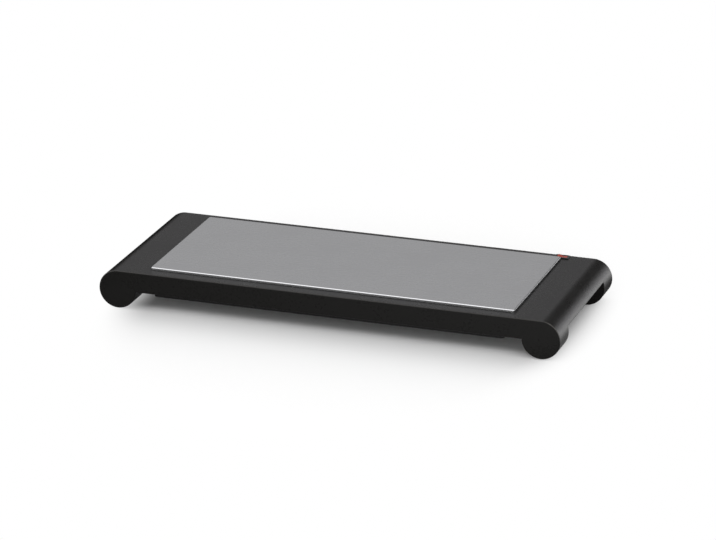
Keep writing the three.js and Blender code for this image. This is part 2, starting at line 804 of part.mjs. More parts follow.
function makeCover() {
  const outer = roundedRect(coverX, coverY, coverCorner);
  const pan = alongZ(outer, coverUnder, coverTop + coverEdge, coverEdge);
  const inside = roundedRect(coverX - coverWall, coverY - coverWall, coverCorner - coverWall);
  const hollow = cut(pan, [
    slab(trayLength, trayDepth, coverTop, coverTop + coverEdge + cutOverrun),
    alongZ(inside, coverFloor, coverTop + cutOverrun),
  ]);
  const well = (x, y) => postZ(wellRadius, x, y, coverUnder + weldDepth, wellTop, mediumSides);
  const recess = (x, y) => postZ(recessRadius, x, y, coverUnder - cutOverrun, recessTop, mediumSides);
  const holeRadius = screwRadius + seatGap;
  const screwHole = (x, y) => postZ(holeRadius, x, y, coverUnder, wellTop + cutOverrun, smallSides);
  const vent = (x) => alongZ(
    roundedRect(ventWidth / 2, ventLength / 2, ventWidth / 2, x, 0, slotSteps),
    coverUnder - cutOverrun,
    coverFloor + cutOverrun,
  );
  return cut(joined([hollow, ...bossPlaces().map(([x, y]) => well(x, y))]), [
    ...bossPlaces().map(([x, y]) => recess(x, y)),
    ...bossPlaces().map(([x, y]) => screwHole(x, y)),
    ...ventPlaces().map(vent),
  ]);
}

function makeCoverScrew() {
  const crown = screwCrownShare * screwHeadHeight;
  return turnedZ([
    [0, -screwHeadHeight],
    [screwCrownShare * screwHeadRadius, -screwHeadHeight],
    [screwHeadRadius, crown - screwHeadHeight],
    [screwHeadRadius, 0],
    [screwRadius, 0],
    [screwRadius, screwLength],
    [0, screwLength],
  ], smallSides);
}

function makePad() {
  return alongZ(roundedRect(padWidth / 2, padLength / 2, padCorner, 0, 0, slotSteps), 0, padHeight);
}

function makeThermostat() {
  const foot = spreaderUnder - thermostatHeight;
  const flangeFoot = spreaderUnder - thermostatFlangeWall;
  const [halfX, halfY] = [thermostatFlange / 2, thermostatFlangeDepth / 2];
  const flange = alongZ(roundedRect(halfX, halfY, halfY, 0, 0, edgeSteps), flangeFoot, spreaderUnder);
  const tabs = block(
    -tabReach,
    tabReach,
    -tabWidth / 2,
    tabWidth / 2,
    foot + tabLift,
    foot + tabLift + tabWall,
  );
  const holes = [-1, 1].map((side) => postZ(
    smallScrewRadius + seatGap,
    side * thermostatScrewReach,
    0,
    flangeFoot - cutOverrun,
    spreaderUnder + cutOverrun,
  ));
  const body = postZ(thermostatRadius, 0, 0, foot, spreaderUnder, largeSides);
  return cut(joined([body, flange, tabs]), holes);
}

function makeSmallScrew() {
  const reach = thermostatFlangeWall + spreaderWall - weldDepth;
  return turnedZ([
    [0, -smallHeadHeight],
    [screwCrownShare * smallHeadRadius, -smallHeadHeight],
    [smallHeadRadius, screwCrownShare * smallHeadHeight - smallHeadHeight],
    [smallHeadRadius, 0],
    [smallScrewRadius, 0],
    [smallScrewRadius, reach],
    [0, reach],
  ], smallSides);
}

function makeFuse() {
  const half = fuseLength / 2;
  const end = half + fuseLeadLength;
  const lead = rodX(fuseLeadRadius, 0, fuseZ, fuseReach - end, fuseReach + end, tubeSides);
  return joined([rodX(fuseRadius, 0, fuseZ, fuseReach - half, fuseReach + half, mediumSides), lead]);
}

function makeFuseClip() {
  const legY = fuseRadius + seatGap;
  const low = fuseZ - fuseRadius - seatGap - clipWall;
  return hatStrip(fuseReach, clipWidth, legY, legY + clipWall + clipFoot, low, spreaderUnder, clipWall);
}

// Mains inlet: flange flush in the rear face, body with a six-sided socket, three blades
function socketOutline() {
  const [halfX, halfZ] = [socketLength / 2, socketHeight / 2];
  return polygon([
    [inletReach - halfX, inletZ - halfZ],
    [inletReach + halfX, inletZ - halfZ],
    [inletReach + halfX, inletZ + halfZ - socketChamfer],
    [inletReach + halfX - socketChamfer, inletZ + halfZ],
    [inletReach - halfX + socketChamfer, inletZ + halfZ],
    [inletReach - halfX, inletZ + halfZ - socketChamfer],
  ]);
}

const pinPlaces = {
  live: [inletReach - pinSpacing, inletZ - pinLow],
  neutral: [inletReach + pinSpacing, inletZ - pinLow],
  earth: [inletReach, inletZ + pinHigh],
};

function pinBlock([x, z], fromY, toY, grow = 0) {
  const [halfX, halfZ] = [pinWidth / 2 + grow, pinHeight / 2 + grow];
  return block(x - halfX, x + halfX, fromY, toY, z - halfZ, z + halfZ);
}

function makeInlet() {
  const flange = inletRect(inletFlangeLength, inletFlangeHeight, 0, inletFlangeCorner);
  const body = alongY(inletRect(inletBodyLength, inletBodyHeight), inletRearY, inletFlangeY + weldDepth);
  const slots = Object.values(pinPlaces).map((place) => (
    pinBlock(place, inletRearY - cutOverrun, inletFaceY - socketDepth + cutOverrun, pressGap)
  ));
  const socket = alongY(socketOutline(), inletFaceY - socketDepth, inletFaceY + cutOverrun);
  return cut(joined([alongY(flange, inletFlangeY, inletFaceY), body]), [socket, ...slots]);
}

// Rocker switch: body with an open pocket, and a rocker that turns on two trunnions
function makeSwitchBody() {
  const around = (length, depth, from, to) => block(
    switchReach - length / 2,
    switchReach + length / 2,
    switchY - depth / 2,
    switchY + depth / 2,
    from,
    to,
  );
  const bezel = roundedRect(bezelLength / 2, bezelDepth / 2, bezelCorner, switchReach, switchY, edgeSteps);
  const bezelTop = frameTop + bezelHeight;
  const below = around(2 * bezelLength, 2 * bezelDepth, frameTop - cutOverrun, frameTop);
  const cap = cut(alongZ(bezel, frameTop - bezelEdge, bezelTop, bezelEdge), [below]);
  const casing = around(switchBodyLength, switchBodyDepth, frameTop - switchBodyDrop, frameTop + weldDepth);
  const pocket = around(pocketLength, pocketDepth, pivotZ - pocketFloorDrop, bezelTop + cutOverrun);
  const holeRadius = trunnionRadius + trunnionGap;
  const half = switchBodyDepth / 2 + cutOverrun;
  const bores = rodY(holeRadius, switchReach, pivotZ, switchY - half, switchY + half, mediumSides);
  const slotFoot = frameTop - switchBodyDrop - cutOverrun;
  const slots = [-1, 0, 1].map((side) => terminalBlock(side, slotFoot, pressGap));
  return cut(joined([cap, casing]), [pocket, bores, ...slots]);
}

// A terminal reaches from below the switch up into its floor
function terminalBlock(side, from, grow = 0) {
  const x = switchReach + side * terminalSpacing;
  const [halfX, halfY] = [terminalWall / 2 + grow, terminalWidth / 2 + grow];
  const top = frameTop - switchBodyDrop + terminalSunk + grow;
  return block(x - halfX, x + halfX, switchY - halfY, switchY + halfY, from, top);
}

// The rocker is drawn level about its pivot, then tilted to its rest position
function makeRocker() {
  const half = rockerLength / 2;
  const hub = trunnionRadius + rockerWall;
  const crown = (drop) => polygon([
    [-half + drop, -rockerSkirt],
    [half - drop, -rockerSkirt],
    [half - drop, rockerEndHeight - drop],
    [0, rockerMiddleHeight - drop],
    [-half + drop, rockerEndHeight - drop],
  ]);
  const body = alongY(crown(0), -rockerDepth / 2, rockerDepth / 2);
  const hubs = rodY(hub, 0, 0, -rockerDepth / 2, rockerDepth / 2, mediumSides);
  const hollowDepth = rockerDepth / 2 - rockerWall;
  const hollow = alongY(crown(rockerWall), -hollowDepth, hollowDepth);
  const under = block(rockerWall - half, half - rockerWall, -hollowDepth, hollowDepth, -rockerEndHeight, 0);
  const pinReach = rockerDepth / 2 + trunnionReach;
  const pins = rodY(trunnionRadius, 0, 0, -pinReach, pinReach, mediumSides);
  return cut(joined([body, hubs, pins]), [hollow, under]);
}

function makeLamp() {
  const z = rockerMiddleHeight - rockerWall - seatGap - lampRadius;
  return rodX(lampRadius, 0, z, -lampLength / 2, lampLength / 2, mediumSides);
}

function makeTerminal(side) {
  return terminalBlock(side, terminalFoot);
}

// A wire leaves each end straight, then follows its route
function makeWire([start, startWay], route, [end, endWay]) {
  const lead = (place, way) => place.map((value, i) => value + wireLead * way[i]);
  const between = route.map(([place, ...offset]) => wirePlaces[place].map((value, i) => value + offset[i]));
  const points = [start, lead(start, startWay), ...between, lead(end, endWay), end];
  const curve = new THREE.CatmullRomCurve3(points.map(([x, y, z]) => new THREE.Vector3(x, y, z)));
  const steps = Math.ceil(curve.getLength() / wireStep);
  const section = roundSection(wireRadius, wireSides);
  return toSolid(new THREE.ExtrudeGeometry(section, { steps, extrudePath: curve }));
}

// Each end of a wire: its place and the way that the wire leaves it
function wireEnds() {
  const tabY = (pinTabY + inletRearY) / 2;
  const [liveX, lowZ] = pinPlaces.live;
  const [neutralX] = pinPlaces.neutral;
  const [earthX, earthZ] = pinPlaces.earth;
  const tabFoot = lowZ - pinHeight / 2 - seatGap;
  const terminalY = switchY - terminalWidth / 2 - seatGap;
  const terminal = (side) => [[switchReach + side * terminalSpacing, terminalY, terminalZ], [0, -1, 0]];
  const thermostatTab = (side) => [[side * (tabReach + seatGap), 0, tabZ], [side, 0, 0]];
  const fuseEnd = fuseLength / 2 + fuseLeadLength + seatGap;
  const coldPin = (side) => [[coldPinX, side * endRunY, tubeZ - coldPinRadius - seatGap], [0, 0, -1]];
  const sideGap = pinWidth / 2 + seatGap;
  return {
    wire_live_in: [[[liveX, tabY, tabFoot], [0, 0, -1]], terminal(-1)],
    wire_live_switched: [terminal(0), thermostatTab(1)],
    wire_fuse: [thermostatTab(-1), [[fuseReach - fuseEnd, 0, fuseZ], [-1, 0, 0]]],
    wire_element: [[[fuseReach + fuseEnd, 0, fuseZ], [1, 0, 0]], coldPin(-1)],
    wire_neutral: [[[neutralX, tabY, tabFoot], [0, 0, -1]], coldPin(1)],
    wire_lamp: [[[neutralX + sideGap, tabY, lowZ], [1, 0, 0]], terminal(1)],
    wire_earth: [[[earthX - sideGap, tabY, earthZ], [-1, 0, 0]], [[studSpacing, lugEndY, lugZ], [0, 1, 0]]],
  };
}

addPiece('housing_frame', makeHousing(), 'housing');
addPiece('heating_plate', makePlate(), 'steel');
addPiece('plate_gasket', makeGasket(), 'silicone');
addPiece('heat_spreader', makeSpreader(), 'aluminium');
addPiece('heating_element', makeElement(), 'element');
strapShares.forEach((share, i) => {
  addPiece(`element_clamp_${i + 1}`, makeStrap((share * spreaderLength) / 2), 'zinc');
});
addPiece('insulation_mat', makeMat(), 'fibre');
addPiece('heat_shield', makeShield(), 'zinc');
[-1, 0, 1].forEach((side, i) => addPiece(`plate_clamp_bar_${i + 1}`, makeBar(side * studSpacing), 'zinc'));
studPlaces.forEach(([x, y], i) => {
  const lugged = x > 0 && y > 0;
  addPiece(`plate_nut_${i + 1}`, makeNut(x, y, lugged ? barUnder - lugWall : barUnder), 'zinc');
});
addPiece('earth_lug', makeLug(), 'brass');
addPiece('bottom_cover', makeCover(), 'cover');
bossPlaces().forEach(([x, y], i) => {
  addPiece(`cover_screw_${i + 1}`, makeCoverScrew(), 'zinc').position.set(x, y, recessTop);
});
eachCorner(rollX, drumMiddleY, (x, y) => [x, y]).forEach(([x, y], i) => {
  addPiece(`foot_pad_${i + 1}`, makePad(), 'rubber').position.set(x, y, 0);
});
addPiece('thermostat', makeThermostat(), 'ceramic');
[-1, 1].forEach((side, i) => {
  const screw = addPiece(`thermostat_screw_${i + 1}`, makeSmallScrew(), 'zinc');
  screw.position.set(side * thermostatScrewReach, 0, spreaderUnder - thermostatFlangeWall);
});
addPiece('thermal_fuse', makeFuse(), 'brass');
addPiece('fuse_clip', makeFuseClip(), 'zinc');
addPiece('inlet_body', makeInlet(), 'fitting');
for (const [name, place] of Object.entries(pinPlaces)) {
  addPiece(`inlet_pin_${name}`, pinBlock(place, pinTabY, inletFaceY - pinSunk), 'brass');
}
addPiece('switch_body', makeSwitchBody(), 'fitting');
[-1, 0, 1].forEach((side, i) => addPiece(`switch_terminal_${i + 1}`, makeTerminal(side), 'brass'));
addPiece('switch_rocker', makeRocker(), 'redLens', rocker);
addPiece('switch_lamp', makeLamp(), 'lamp', rocker);
const wireFinishes = {
  wire_live_in: 'brownWire',
  wire_live_switched: 'brownWire',
  wire_fuse: 'whiteWire',
  wire_element: 'whiteWire',
  wire_neutral: 'blueWire',
  wire_lamp: 'blueWire',
  wire_earth: 'greenWire',
};
const ends = wireEnds();
for (const [name, finish] of Object.entries(wireFinishes)) {
  const [start, end] = ends[name];
  addPiece(name, makeWire(start, wireRoutes[name], end), finish);
}
rocker.position.set(switchReach, switchY, pivotZ);
rocker.rotation.y = rockerTilt;

export default tray;
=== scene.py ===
import math

import bmesh
import bpy
from mathutils import Matrix, Vector


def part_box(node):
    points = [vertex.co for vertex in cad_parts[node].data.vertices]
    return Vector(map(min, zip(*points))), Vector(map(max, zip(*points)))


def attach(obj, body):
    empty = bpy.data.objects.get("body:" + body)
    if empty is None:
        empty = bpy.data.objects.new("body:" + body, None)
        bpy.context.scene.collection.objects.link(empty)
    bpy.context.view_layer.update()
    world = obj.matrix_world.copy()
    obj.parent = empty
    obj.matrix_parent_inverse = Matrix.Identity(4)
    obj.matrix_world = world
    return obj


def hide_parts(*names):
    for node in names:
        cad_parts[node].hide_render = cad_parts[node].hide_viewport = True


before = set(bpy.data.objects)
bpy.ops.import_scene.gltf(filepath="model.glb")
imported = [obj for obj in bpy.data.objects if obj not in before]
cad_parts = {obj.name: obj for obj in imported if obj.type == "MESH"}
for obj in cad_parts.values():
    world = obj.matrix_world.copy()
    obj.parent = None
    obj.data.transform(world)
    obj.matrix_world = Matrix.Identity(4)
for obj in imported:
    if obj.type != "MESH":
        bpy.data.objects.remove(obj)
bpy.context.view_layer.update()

# Lengths are in millimetres up to the mesh code, which turns them into metres
MM = 0.001
QUARTER = math.pi / 2
OVERRUN = 1.0
SINK = 0.2
SEAT_GAP = 0.3
PRESS_GAP = 0.15

# Facets of the rounded forms
ROLL_STEPS = 72
CURL_STEPS = 30
LIP_STEPS = 24
EDGE_STEPS = 5
CORNER_STEPS = 10
LARGE_SIDES = 64
ROUND_SIDES = 32
SHARP_ANGLE = math.radians(32)
LARGE_FACE_WEIGHT = 100

# Housing
TRAY_LENGTH = 600.0
TRAY_DEPTH = 238.0
ROLL_RADIUS = 24.6
PAD_STAND = 1.0
HOUSING_WALL = 2.6
HOUSING_EDGE = 1.4
FACE_HEIGHT = 26.2
DRUM_DEPTH = 38.0
GRIP_REACH = 50.0
LIP_ANGLE = math.radians(69)
DRUM_EDGE = 0.9
DRUM_EDGE_FROM = math.radians(73)
DRUM_EDGE_TO = math.radians(262)
DRUM_EDGE_STEPS = 60
COLLAR_WALL = 2.2
COLLAR_DROP = 2.0
RIB_WALL = 2.0
RIB_DROP = 4.0
SIDE_RIB_SHARES = (-0.75, -0.25, 0.25, 0.75)
MARGIN_RIB_REACH = 144.97
BOSS_RADIUS = 4.0
BOSS_REACHES = (-218.0, -73.03, 73.03, 218.0)

# Heating plate
PLATE_LENGTH = 474.0
PLATE_DEPTH = 205.0
PLATE_RISE = 3.6
PLATE_WALL = 1.0
PLATE_CORNER = 3.0
PLATE_EDGE = 1.2
STUD_RADIUS = 2.0
STUD_SPACING = 170.04
STUD_REACH = 60.0
OPENING_INSET = 7.0
GASKET_INSET = 0.2
GASKET_HEIGHT = 1.8
GASKET_PROUD = 0.3

# Bottom cover, screws and pads
COVER_LENGTH = 457.0
COVER_DROP = 3.8
COVER_LAP = 2.4
COVER_WALL = 1.2
COVER_EDGE = 1.4
COVER_CORNER = 6.0
WELL_RADIUS = 5.5
WELL_HEIGHT = 4.5
RECESS_RADIUS = 4.1
RECESS_DEPTH = 3.0
SCREW_RADIUS = 1.4
SCREW_LENGTH = 12.0
HEAD_RADIUS = 3.6
HEAD_HEIGHT = 2.2
HEAD_ROUND = 1.1
CROSS_LENGTH = 3.6
CROSS_WIDTH = 0.9
CROSS_DEPTH = 1.2
VENT_REACH = 105.11
VENT_COUNT = 6
VENT_PITCH = 11.0
VENT_WIDTH = 3.4
VENT_LENGTH = 62.0
PAD_LENGTH = 24.0
PAD_WIDTH = 12.0
PAD_HEIGHT = 2.4
PAD_CORNER = 2.0
PAD_EDGE = 0.5

# Mains inlet
INLET_REACH = 180.0
INLET_LIFT = 12.8
FLANGE_LENGTH = 30.7
FLANGE_HEIGHT = 22.6
FLANGE_WALL = 1.5
FLANGE_CORNER = 2.0
FLANGE_EDGE = 0.4
INLET_SUNK = 0.2
INLET_LENGTH = 27.4
INLET_HEIGHT = 19.6
INLET_DEPTH = 19.0
INLET_PAD_WALL = 2.0
INLET_PAD_MARGIN = 2.0
SOCKET_LENGTH = 24.4
SOCKET_HEIGHT = 16.8
SOCKET_DEPTH = 16.0
SOCKET_CHAMFER = 5.0
SOCKET_CORNER = 0.7
BLADE_WIDTH = 2.0
BLADE_HEIGHT = 4.0
BLADE_SPACING = 7.0
BLADE_OFFSET = 2.0
BLADE_SUNK = 2.0
BLADE_TAB = 6.0
BLADE_EDGE = 0.45

# Rocker switch
SWITCH_REACH = 236.0
BEZEL_LENGTH = 18.6
BEZEL_DEPTH = 11.8
BEZEL_HEIGHT = 1.4
BEZEL_EDGE = 0.5
BEZEL_CORNER = 1.4
SWITCH_LENGTH = 16.0
SWITCH_DEPTH = 9.6
SWITCH_DROP = 15.0
POCKET_LENGTH = 14.4
POCKET_DEPTH = 8.0
POCKET_DROP = 8.0
POCKET_CORNER = 0.6
ROCKER_LENGTH = 12.4
ROCKER_DEPTH = 7.3
ROCKER_END = 4.8
ROCKER_MIDDLE = 3.7
ROCKER_SKIRT = 1.0
ROCKER_WALL = 1.1
ROCKER_CORNER = 0.5
ROCKER_EDGE = 0.35
ROCKER_TILT = math.radians(10)
PIVOT_DROP = 2.8
TRUNNION_RADIUS = 1.0
TRUNNION_REACH = 0.5
TRUNNION_GAP = 0.2
TERMINAL_SPACING = 5.0
TERMINAL_WIDTH = 3.0
TERMINAL_WALL = 0.6
TERMINAL_SUNK = 1.4

# Heights and places, worked out from the sizes above
roll_z = PAD_STAND + ROLL_RADIUS
frame_top = PAD_STAND + 2 * ROLL_RADIUS
skin_under = frame_top - HOUSING_WALL
face_foot = frame_top - FACE_HEIGHT
ledge_top = face_foot + HOUSING_WALL
collar_foot = skin_under - COLLAR_DROP
plate_top = frame_top + PLATE_RISE
plate_under = plate_top - PLATE_WALL
gasket_top = frame_top + GASKET_PROUD
gasket_foot = gasket_top - GASKET_HEIGHT
cover_under = face_foot - COVER_DROP
cover_floor = cover_under + COVER_WALL
cover_top = face_foot + COVER_LAP
well_top = cover_under + WELL_HEIGHT
recess_top = cover_under + RECESS_DEPTH
inlet_z = face_foot + INLET_LIFT
pivot_z = frame_top - PIVOT_DROP
half_length = TRAY_LENGTH / 2
half_depth = TRAY_DEPTH / 2
roll_x = half_length - ROLL_RADIUS
grip_wall_x = half_length - GRIP_REACH
cavity_x = grip_wall_x - HOUSING_WALL
cavity_y = half_depth - HOUSING_WALL
drum_inner_y = half_depth - DRUM_DEPTH
drum_middle_y = half_depth - DRUM_DEPTH / 2
opening_x = PLATE_LENGTH / 2 - OPENING_INSET
opening_y = PLATE_DEPTH / 2 - OPENING_INSET
collar_x = opening_x + COLLAR_WALL
collar_y = opening_y + COLLAR_WALL
boss_y = (cavity_y + collar_y) / 2
cover_x = COVER_LENGTH / 2
cover_y = cavity_y - SEAT_GAP
switch_y = (PLATE_DEPTH / 2 + half_depth - HOUSING_EDGE) / 2
inlet_face_y = half_depth - INLET_SUNK
flange_y = inlet_face_y - FLANGE_WALL
inlet_rear_y = flange_y - INLET_DEPTH
boss_places = [(x, side * boss_y) for x in BOSS_REACHES for side in (-1, 1)]
stud_places = [(sx * STUD_SPACING, sy * STUD_REACH) for sx in (-1, 0, 1) for sy in (-1, 1)]
corner_signs = [(-1, -1), (1, -1), (-1, 1), (1, 1)]

# Camera, fitted to the photograph's edges
PHOTO_WIDTH = 716
SENSOR_WIDTH = 36.0
FOCAL_PIXELS = 3780.9
CAMERA_AZIMUTH = math.radians(18.959)
CAMERA_ELEVATION = math.radians(20.344)
CAMERA_YAW = math.radians(-0.022)
CAMERA_PITCH = math.radians(-0.486)
CAMERA_DISTANCE = 4757.4
CAMERA_CLIP = (0.1, 100.0)

# What the surroundings send to matt surfaces, and what reflections show of them. A pair of
# numbers is a soft step between two parts of a direction, or between two places in metres.
FILL_SIDES = 1.48
FILL_TOP = 0.23
FILL_TURN = (0.45, 1.05)
FRONT = 0.8
REAR = (0.0, 0.2)
CEILING = 1.2
SHEEN_COLOR = (0.985, 0.975, 1.0)
CEILING_FOOT = (0.48, 0.80)
SURROUND = 0.08
SURROUND_FOOT = (0.0, 0.2)
SIDES = 0.4
SIDES_REACH = (0.45, 0.65)
SIDES_FOOT = (0.15, 0.40)
DARK_LEFT = (-0.54, -0.42)
PANEL = 0.46
PANEL_RIGHT = (-0.22, -0.10)
PANEL_FOOT = (0.12, 0.24)
HORIZON = 2.4
HORIZON_LEFT = (0.05, 0.30)
HORIZON_TOP = (0.04, 0.36)

# Floor, as the camera sees it and as reflections show it. Its shadow fades out over an ellipse,
# whose middle and reach are in metres, and a painted shadow darkens it further in a soft-edged rectangle
# right under the object.
FLOOR_RADIUS = 6000.0
FLOOR_THICKNESS = 5.0
FLOOR_COLOR = 1.06
FLOOR_DIM = 0.95
FLOOR_BOUNCE = 0.1
FLOOR_SHADOW_MIDDLE = (0.01, 0.0, 0.0)
FLOOR_SHADOW_REACH = (0.318, 0.5, 1.0)
FLOOR_FADE = (0.8, 1.0)
FLOOR_PAINTED_SHADOW = 0.46
FLOOR_PAINTED_SHADOW_ENDS = (0.272, 0.302)
FLOOR_PAINTED_SHADOW_SIDES = (0.087, 0.109)
FLOOR_DARK_LEFT = (-0.44, -0.28)
FLOOR_DARK_REAR = (-0.02, 0.22)
FLOOR_DARK_RIGHT = (0.26, 0.31)
FLOOR_DARK_SHARE = 0.4
FLOOR_SLOPE = (-0.4, 0.4)
FLOOR_SLOPE_SHARE = 0.5
FLOOR_UNDER = 1.0
FLOOR_UNDER_ENDS = (0.17, 0.25)
FLOOR_UNDER_SIDES = (0.085, 0.115)
FLOOR_BRIGHT = 3.3
FLOOR_BRIGHT_RIGHT = (0.31, 0.45)


# Flat outlines, as lists of two-number points
def arc(x, y, radius, start, end, steps):
    """Points along an arc from one angle to another."""
    turns = [start + (end - start) * step / steps for step in range(steps + 1)]
    return [(x + radius * math.cos(turn), y + radius * math.sin(turn)) for turn in turns]


def circle(x, y, radius, sides):
    """A closed round outline."""
    return arc(x, y, radius, 0, 4 * QUARTER, sides)[:-1]


def rounded(corners, radius, steps=CORNER_STEPS):
    """The outline of a polygon, given anticlockwise, with its outward corners rounded."""
    points = []
    for i, corner in enumerate(corners):
        here = Vector(corner)
        back = (Vector(corners[i - 1]) - here).normalized()
        ahead = (Vector(corners[(i + 1) % len(corners)]) - here).normalized()
        half = math.acos(max(-1.0, min(1.0, back.dot(ahead)))) / 2
        convex = back.x * ahead.y - back.y * ahead.x < 0
        if not convex:
            points.append((here.x, here.y))
            continue
        centre = here + (back + ahead).normalized() * (radius / math.sin(half))
        start = here + back * (radius / math.tan(half)) - centre
        first = math.atan2(start.y, start.x)
        points += arc(centre.x, centre.y, radius, first, first + 2 * QUARTER - 2 * half, steps)
    return points


def rectangle(half_x, half_y, radius=0.0, x=0.0, y=0.0):
    """A rectangle about a middle point, with rounded corners if a radius is given."""
    corners = [(x + sx * half_x, y + sy * half_y) for sx, sy in ((-1, -1), (1, -1), (1, 1), (-1, 1))]
    return rounded(corners, radius) if radius > 0 else corners


def inset(points, amount):
    """The outline moved inward by an even amount, point for point."""
    if amount == 0:
        return list(points)
    area = sum(a[0] * b[1] - a[1] * b[0] for a, b in zip(points, points[1:] + points[:1]))
    inward = math.copysign(amount, area)
    moved = []
    for i, (x, y) in enumerate(points):
        before, after = points[i - 1], points[(i + 1) % len(points)]
        first = Vector((x - before[0], y - before[1])).normalized()
        second = Vector((after[0] - x, after[1] - y)).normalized()
        mitre = 1 + first.dot(second)
        moved.append((
            x - inward * (first.y + second.y) / mitre,
            y + inward * (first.x + second.x) / mitre,
        ))
    return moved


# Meshes
def standing(points, axis, place):
    """Points in metres for a flat outline that stands at a place along an axis."""
    if axis == "X":
        return [Vector((place, u, v)) * MM for u, v in points]
    if axis == "Y":
        return [Vector((u, place, v)) * MM for u, v in points]
    return [Vector((u, v, place)) * MM for u, v in points]


def loft(name, rings):
    """A closed solid through rings of equally many points, capped at both ends."""
    count = len(rings[0])
    points = [point for ring in rings for point in ring]
    faces = [tuple(range(count)), tuple(range(len(points) - count, len(points)))]
    for level in range(len(rings) - 1):
        base = level * count
        for i in range(count):
            j = (i + 1) % count
            faces.append((base + i, base + j, base + j + count, base + i + count))
    mesh = bpy.data.meshes.new(name)
    mesh.from_pydata(points, [], faces)
    form = bmesh.new()
    form.from_mesh(mesh)
    bmesh.ops.recalc_face_normals(form, faces=form.faces)
    form.to_mesh(mesh)
    form.free()
    piece = bpy.data.objects.new(name, mesh)
    bpy.context.scene.collection.objects.link(piece)
    return piece


def drawn(points, axis, low, high, low_edge=0.0, high_edge=0.0, name="tool"):
    """An outline drawn out along an axis, with its two ends rounded over by these radii."""
    steps = range(EDGE_STEPS + 1) if low_edge else [EDGE_STEPS]
    rings = []
    for step in steps:
        turn = QUARTER * step / EDGE_STEPS
        place = low + low_edge * (1 - math.cos(turn))
        rings.append(standing(inset(points, low_edge * (1 - math.sin(turn))), axis, place))
    steps = range(EDGE_STEPS + 1) if high_edge else [0]
    for step in steps:
        turn = QUARTER * step / EDGE_STEPS
        place = high - high_edge * (1 - math.sin(turn))
        rings.append(standing(inset(points, high_edge * (1 - math.cos(turn))), axis, place))
    return loft(name, rings)


def box(low, high):
    """A plain block between two corners, for cutting and joining."""
    middle = [(a + b) / 2 for a, b in zip(low, high)]
    half = [(b - a) / 2 for a, b in zip(low, high)]
    return drawn(rectangle(half[0], half[1], x=middle[0], y=middle[1]), "Z", low[2], high[2])


def rod(axis, centre, radius, low, high, sides=ROUND_SIDES):
    """A round bar along an axis."""
    return drawn(circle(centre[0], centre[1], radius, sides), axis, low, high)


def turned(name, profile, sides=ROUND_SIDES):
    """A solid turned about Z from a profile of radius and height that ends near the axis."""
    return loft(name, [standing(circle(0, 0, radius, sides), "Z", z) for radius, z in profile])


def shape(piece, operation, tools):
    """Cuts tools out of a piece, or joins them to it, and drops them."""
    for tool in tools:
        change = piece.modifiers.new("shape", "BOOLEAN")
        change.operation = operation
        change.solver = "MANIFOLD"
        change.object = tool
    bpy.context.view_layer.update()
    ready = piece.evaluated_get(bpy.context.evaluated_depsgraph_get())
    result = bpy.data.meshes.new_from_object(ready)
    piece.modifiers.clear()
    piece.data = result
    for tool in tools:
        bpy.data.objects.remove(tool)
    return piece


def smooth(piece):
    """Smooth shading over rounded forms, and flat faces that stay flat."""
    form = bmesh.new()
    form.from_mesh(piece.data)
    for face in form.faces:
        face.smooth = True
    for edge in form.edges:
        edge.smooth = len(edge.link_faces) == 2 and edge.calc_face_angle(0.0) < SHARP_ANGLE
    form.to_mesh(piece.data)
    form.free()
    weights = piece.modifiers.new("even_shading", "WEIGHTED_NORMAL")
    weights.keep_sharp = True
    weights.weight = LARGE_FACE_WEIGHT
    return piece


def ready(piece, body, material, slot, *nodes):
    """Finishes a piece: shading, material, the body that it rides on and the nodes that it stands for."""
    piece.data.materials.clear()
    piece.data.materials.append(material)
    smooth(piece)
    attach(piece, body)
    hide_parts(*nodes)
    return piece


# Shader node groups for effects that several materials share
def new_group(name, inputs, outputs):
    """An empty node group with its sockets, and its input and output nodes."""
    group = bpy.data.node_groups.new(name, "ShaderNodeTree")
    for label, kind, value in inputs:
        socket = group.interface.new_socket(name=label, in_out="INPUT", socket_type=kind)
        if value is not None:
            socket.default_value = value
    for label, kind in outputs:
        group.interface.new_socket(name=label, in_out="OUTPUT", socket_type=kind)
    return group, group.nodes.new("NodeGroupInput"), group.nodes.new("NodeGroupOutput")


def node(tree, kind, settings=None, **links):
    """A node with its settings, and its inputs linked or set by name or number."""
    made = tree.nodes.new(kind)
    for key, value in (settings or {}).items():
        setattr(made, key, value)
    for key, value in links.items():
        socket = made.inputs[int(key[1:])] if key[1:].isdigit() else made.inputs[key.replace("_", " ")]
        if isinstance(value, bpy.types.NodeSocket):
            tree.links.new(value, socket)
        else:
            socket.default_value = value
    return made


def maths(tree, operation, first, second=0.0, clamp=False):
    """The output of one sum."""
    settings = {"operation": operation, "use_clamp": clamp}
    return node(tree, "ShaderNodeMath", settings, i0=first, i1=second).outputs[0]


def ramp(tree, value, low, high, rising=True):
    """A soft step between two values of a number, from 0 to 1 or back."""
    step = node(tree, "ShaderNodeMapRange", {"interpolation_type": "SMOOTHSTEP"}, Value=value)
    step.inputs["From Min"].default_value = low
    step.inputs["From Max"].default_value = high
    step.inputs["To Min"].default_value = 0.0 if rising else 1.0
    step.inputs["To Max"].default_value = 1.0 if rising else 0.0
    return step.outputs["Result"]


def product(tree, *factors):
    """The product of several outputs."""
    result = factors[0]
    for factor in factors[1:]:
        result = maths(tree, "MULTIPLY", result, factor)
    return result


def local_noise(tree, size, detail, roughness=0.5):
    """Noise on the piece itself, with cells of a size in metres."""
    place = tree.nodes.new("ShaderNodeTexCoord").outputs["Object"]
    scale = maths(tree, "DIVIDE", 1.0, size)
    made = node(
        tree, "ShaderNodeTexNoise", None, Vector=place, Scale=scale, Detail=detail, Roughness=roughness
    )
    return made.outputs["Fac"]


def toned(tree, color, tone):
    """A colour made lighter or darker by a factor."""
    return node(tree, "ShaderNodeVectorMath", {"operation": "SCALE"}, i0=color, Scale=tone).outputs[0]


FLOAT, COLOR, VECTOR = "NodeSocketFloat", "NodeSocketColor", "NodeSocketVector"

